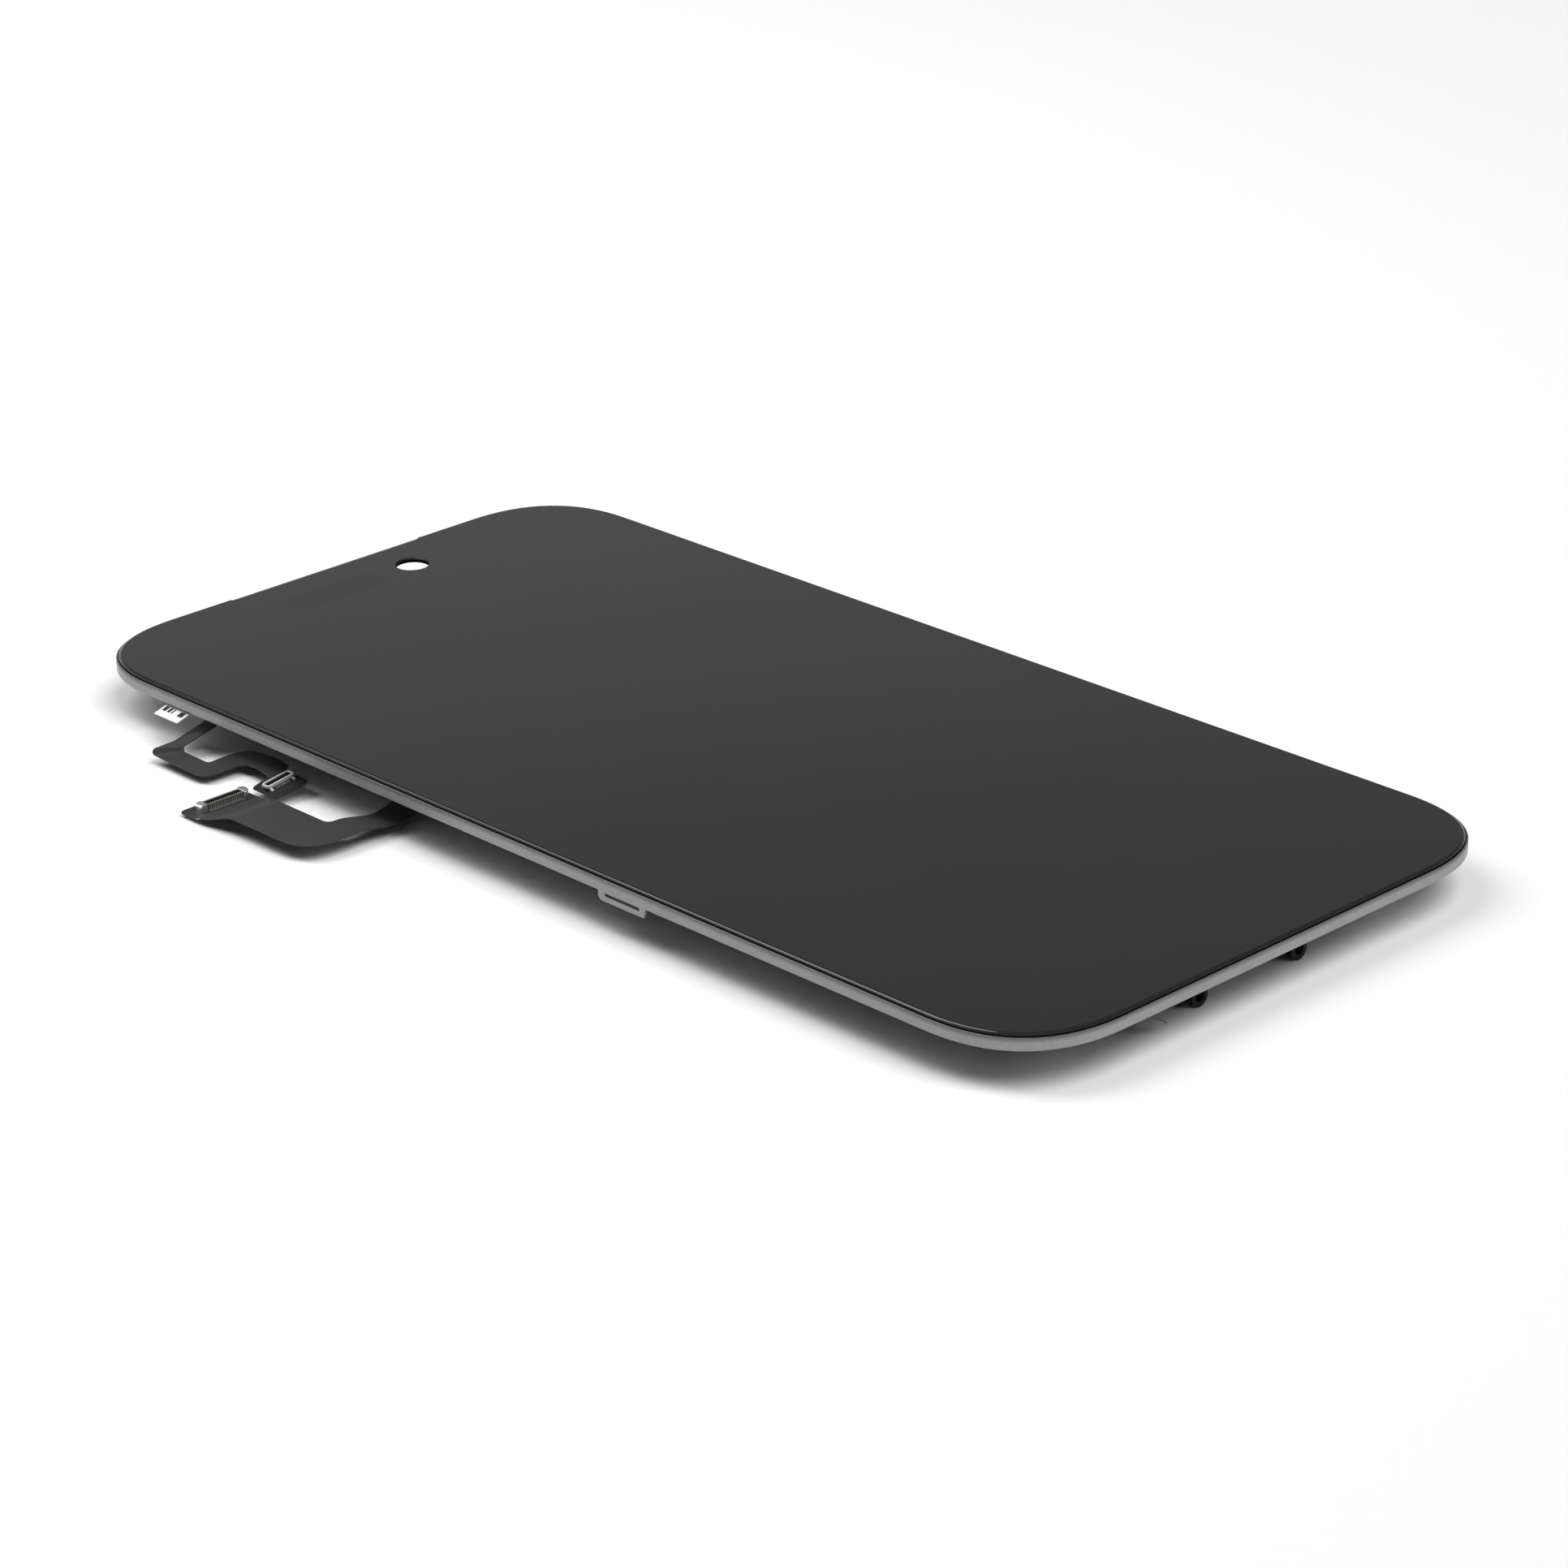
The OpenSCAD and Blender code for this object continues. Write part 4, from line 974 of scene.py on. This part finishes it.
class ASSEMBLY_OT_stiffeners(ScreenOperator, bpy.types.Operator):
    """Models the thin steel plates under both connectors' heads"""
    bl_idname = "assembly.stiffeners"
    bl_label = "Stiffeners"

    def build(self, sizes, colours):
        for node, name, long, wide, place, tilt in (
                ("display_stiffener", "display_head_plate", 7.4, 2.4, (-42.6, 36.8, -5.82), 0),
                ("touch_stiffener", "touch_head_plate", 3.7, 3.2, (-36.05, 34.6, -4.98), 8)):
            plate = rounded_block(long * MM, wide * MM, 0.2 * MM, 0.5 * MM)
            soften(plate, 0.04 * MM, 2, 60)
            put(plate, Vector(place) * MM, math.radians(tilt))
            finish_piece(plate, name, "back_metal", finish(
                name + "_steel", colours.steel, 0.36, metal=1, grain=0.1 * MM, stretch=(0.06, 1, 1)),
                node)


class ASSEMBLY_OT_lug_bracket(ScreenOperator, bpy.types.Operator):
    """Models the black bracket over the fold, with its feet and two screw lugs"""
    bl_idname = "assembly.lug_bracket"
    bl_label = "Lug Bracket"

    def build(self, sizes, colours):
        low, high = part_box("lug_bracket")
        face = low.y
        under, back, sheet = -2.42 * MM, high.z, 0.5 * MM
        plate = slab((-12 * MM, face, under - sheet), (12 * MM, face + 4 * MM, under))
        wings = slab((low.x, face, under - sheet), (high.x, face + 2.8 * MM, under))
        combine(plate, "UNION", wings)
        for x in (low.x, high.x - 3 * MM):
            foot = slab((x, face, under - sheet), (x + 3 * MM, face + 2.8 * MM, back))
            combine(plate, "UNION", foot)
        centre = low.z + 1.1 * MM
        for x in (-7.15 * MM, 7.15 * MM):
            lug = slab((x - 1.1 * MM, face, low.z), (x + 1.1 * MM, face + sheet, under))
            select("EDGE", lambda e: spans(e).y > sheet / 2 and middle(e).z < centre)
            bpy.ops.mesh.bevel(offset=1.095 * MM, segments=10)
            collar = rod(0.95 * MM, 0.9 * MM, (x, face + 0.85 * MM, centre), "Y")
            hole = rod(0.6 * MM, 4 * MM, (x, face + MM, centre), "Y", 32)
            combine(plate, "UNION", lug, collar)
            combine(plate, "DIFFERENCE", hole)
        soften(plate, 0.07 * MM, 3, 40)
        finish_piece(plate, "screw_lug_bracket", "black_metal", finish(
            "black_paint", colours.black_metal, 0.5, grain=0.1 * MM, bump=0.3, shade=0.15,
            specular=0.2),
            "lug_bracket")


class ASSEMBLY_OT_top_hooks(ScreenOperator, bpy.types.Operator):
    """Models the two sheet-metal hooks under the frame's upper rim"""
    bl_idname = "assembly.top_hooks"
    bl_label = "Top Hooks"

    def build(self, sizes, colours):
        for node, name in (("hook_left", "left_top_hook"), ("hook_right", "right_top_hook")):
            low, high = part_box(node)
            t = 0.4 * MM
            hook = slab((low.x, low.y, low.z), (high.x, low.y + t, high.z))
            foot = slab((low.x, low.y, high.z - t), (high.x, high.y, high.z))
            lip = slab((low.x, low.y, low.z), (high.x, low.y + t + 0.7 * MM, low.z + t))
            select("EDGE", lambda e: spans(e).z > t / 2 and middle(e).y > low.y + t)
            bpy.ops.mesh.bevel(offset=0.4 * MM, segments=4)
            combine(hook, "UNION", foot, lip)
            soften(hook, 0.08 * MM, 3, 40)
            finish_piece(hook, name, "back_metal", finish(
                name + "_steel", colours.steel, 0.34, metal=1, grain=0.12 * MM, stretch=(0.1, 1, 1)),
                node)


class ASSEMBLY_OT_paper_label(ScreenOperator, bpy.types.Operator):
    """Models the paper label under the frame's left rim, with plain bars on it"""
    bl_idname = "assembly.paper_label"
    bl_label = "Paper Label"

    def build(self, sizes, colours):
        low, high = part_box("paper_label")
        top, slope = FRAME_BOTTOM / MM, math.tan(math.radians(16))
        y0, y1 = low.y / MM, high.y / MM
        gates = []
        for x in (-33, -33.3, -33.6, -33.75, -33.85, -33.95, -34.1, -34.4, -34.8, -35.2, -35.6, -36,
                  -36.5):
            drop = max(0, -33.85 - x) * slope
            gates.append(gate((x, y0, top - drop), (x, y1, top - drop)))
        label = ribbon(gates, 0.115 * MM)
        finish_piece(label, "glued_label", "label_paper", label_finish(colours.paper, colours.ink),
                     "paper_label")


class ASSEMBLY_OT_film_end(ScreenOperator, bpy.types.Operator):
    """Models the loose black film end that curls down under the lower end"""
    bl_idname = "assembly.film_end"
    bl_label = "Loose Film End"

    def build(self, sizes, colours):
        def across(x, z):
            return gate((x, -66.6, z), (x, -69.6, z))

        gates = stretch(across(-23, BACK_FACE), across(-19.2, BACK_FACE), 3)
        gates += stretch(across(-19.2, BACK_FACE), across(-13.5, -4.85), 18, 1.6)
        gates += [across(-13.5, -4.85)]
        film = ribbon(gates, 0.095 * MM)
        finish_piece(film, "loose_film", "black_plastic", finish(
            "black_film", colours.black_plastic, 0.3, grain=0.3 * MM, bump=0.1), "film_end")


class ASSEMBLY_OT_back_plate(ScreenOperator, bpy.types.Operator):
    """Models the metal tray that closes the backlight"""
    bl_idname = "assembly.back_plate"
    bl_label = "Back Plate"

    def build(self, sizes, colours):
        low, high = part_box("back_plate")
        wall = 0.2 * MM
        deep = high.z - low.z
        tray = panel(0, 0, high.z, deep)
        hollow = panel(wall, wall, high.z + MM, MM + deep - wall)
        combine(tray, "DIFFERENCE", hollow)
        soften(tray, 0.08 * MM, 2, 60)
        finish_piece(tray, "steel_tray", "back_metal", tray_finish(colours.steel, colours.black_plastic),
                     "back_plate")


class ASSEMBLY_OT_inner_layers(ScreenOperator, bpy.types.Operator):
    """Gives the layers and the tape that keep their CAD shape their finishes"""
    bl_idname = "assembly.inner_layers"
    bl_label = "Inner Layers"

    def build(self, sizes, colours):
        black = finish("adhesive_black", (0.02, 0.02, 0.02), 0.6, grain=0.3 * MM)
        clear = finish("clear_glue", (0.7, 0.72, 0.72), 0.2, grain=0.5 * MM, cloud=9 * MM)
        polar = finish("polarizer_film", (0.06, 0.06, 0.065), 0.25, grain=0.8 * MM, cloud=12 * MM)
        glass = finish("panel_glass", (0.3, 0.33, 0.32), 0.12, grain=1.5 * MM, bump=0.02)
        films = finish("white_films", (0.84, 0.86, 0.86), 0.4, grain=0.05 * MM, bump=0.2)
        white = finish("white_rim", (0.83, 0.83, 0.81), 0.55, grain=0.2 * MM)
        chip = finish("chip_black", (0.06, 0.06, 0.065), 0.25, grain=0.1 * MM)
        strip = finish("lamp_strip_film", (0.3, 0.17, 0.06), 0.5, grain=0.2 * MM)
        lamp = finish("lamp_yellow", (0.85, 0.72, 0.28), 0.35, grain=0.1 * MM)
        tape = finish("fold_tape_black", colours.black_plastic, 0.42, grain=0.25 * MM, bump=0.25,
                      stretch=(1, 0.4, 1))
        for material, names in (
                (black, ("glass_adhesive",)), (clear, ("clear_adhesive",)),
                (polar, ("front_polarizer", "rear_polarizer")), (glass, ("filter_glass", "cell_glass")),
                (films, ("prism_film", "diffuser_film", "light_guide", "reflector_film")),
                (white, ("light_rim",)), (chip, ("driver_chip",)), (strip, ("lamp_strip",)),
                (lamp, ("lamps",)), (tape, ("fold_tape",))):
            for name in names:
                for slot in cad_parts[name].material_slots:
                    slot.material = material


OPERATORS = (
    ASSEMBLY_OT_stage, ASSEMBLY_OT_cover_glass, ASSEMBLY_OT_bezel_frame, ASSEMBLY_OT_display_tail,
    ASSEMBLY_OT_touch_tail, ASSEMBLY_OT_display_connector, ASSEMBLY_OT_touch_connector,
    ASSEMBLY_OT_stiffeners, ASSEMBLY_OT_lug_bracket, ASSEMBLY_OT_top_hooks,
    ASSEMBLY_OT_paper_label, ASSEMBLY_OT_film_end, ASSEMBLY_OT_back_plate, ASSEMBLY_OT_inner_layers)


class ASSEMBLY_PT_panel(bpy.types.Panel):
    """Lists the screen's sizes, colours and pieces"""
    bl_idname = "ASSEMBLY_PT_panel"
    bl_label = "Phone Screen"
    bl_space_type = "VIEW_3D"
    bl_region_type = "UI"
    bl_category = "Screen"

    def draw(self, context):
        for group in (context.scene.screen_sizes, context.scene.screen_colours):
            for name in group.__annotations__:
                self.layout.prop(group, name)
        for operator in OPERATORS:
            self.layout.operator(operator.bl_idname)


CLASSES = (ScreenSizes, ScreenColours) + OPERATORS + (ASSEMBLY_PT_panel,)


def register():
    for cls in CLASSES:
        bpy.utils.register_class(cls)
    bpy.types.Scene.screen_sizes = bpy.props.PointerProperty(type=ScreenSizes)
    bpy.types.Scene.screen_colours = bpy.props.PointerProperty(type=ScreenColours)


def unregister():
    del bpy.types.Scene.screen_colours
    del bpy.types.Scene.screen_sizes
    for cls in reversed(CLASSES):
        bpy.utils.unregister_class(cls)


def main():
    register()
    for operator in OPERATORS:
        group, name = operator.bl_idname.split(".")
        getattr(getattr(bpy.ops, group), name)()


if __name__ == "__main__":
    main()
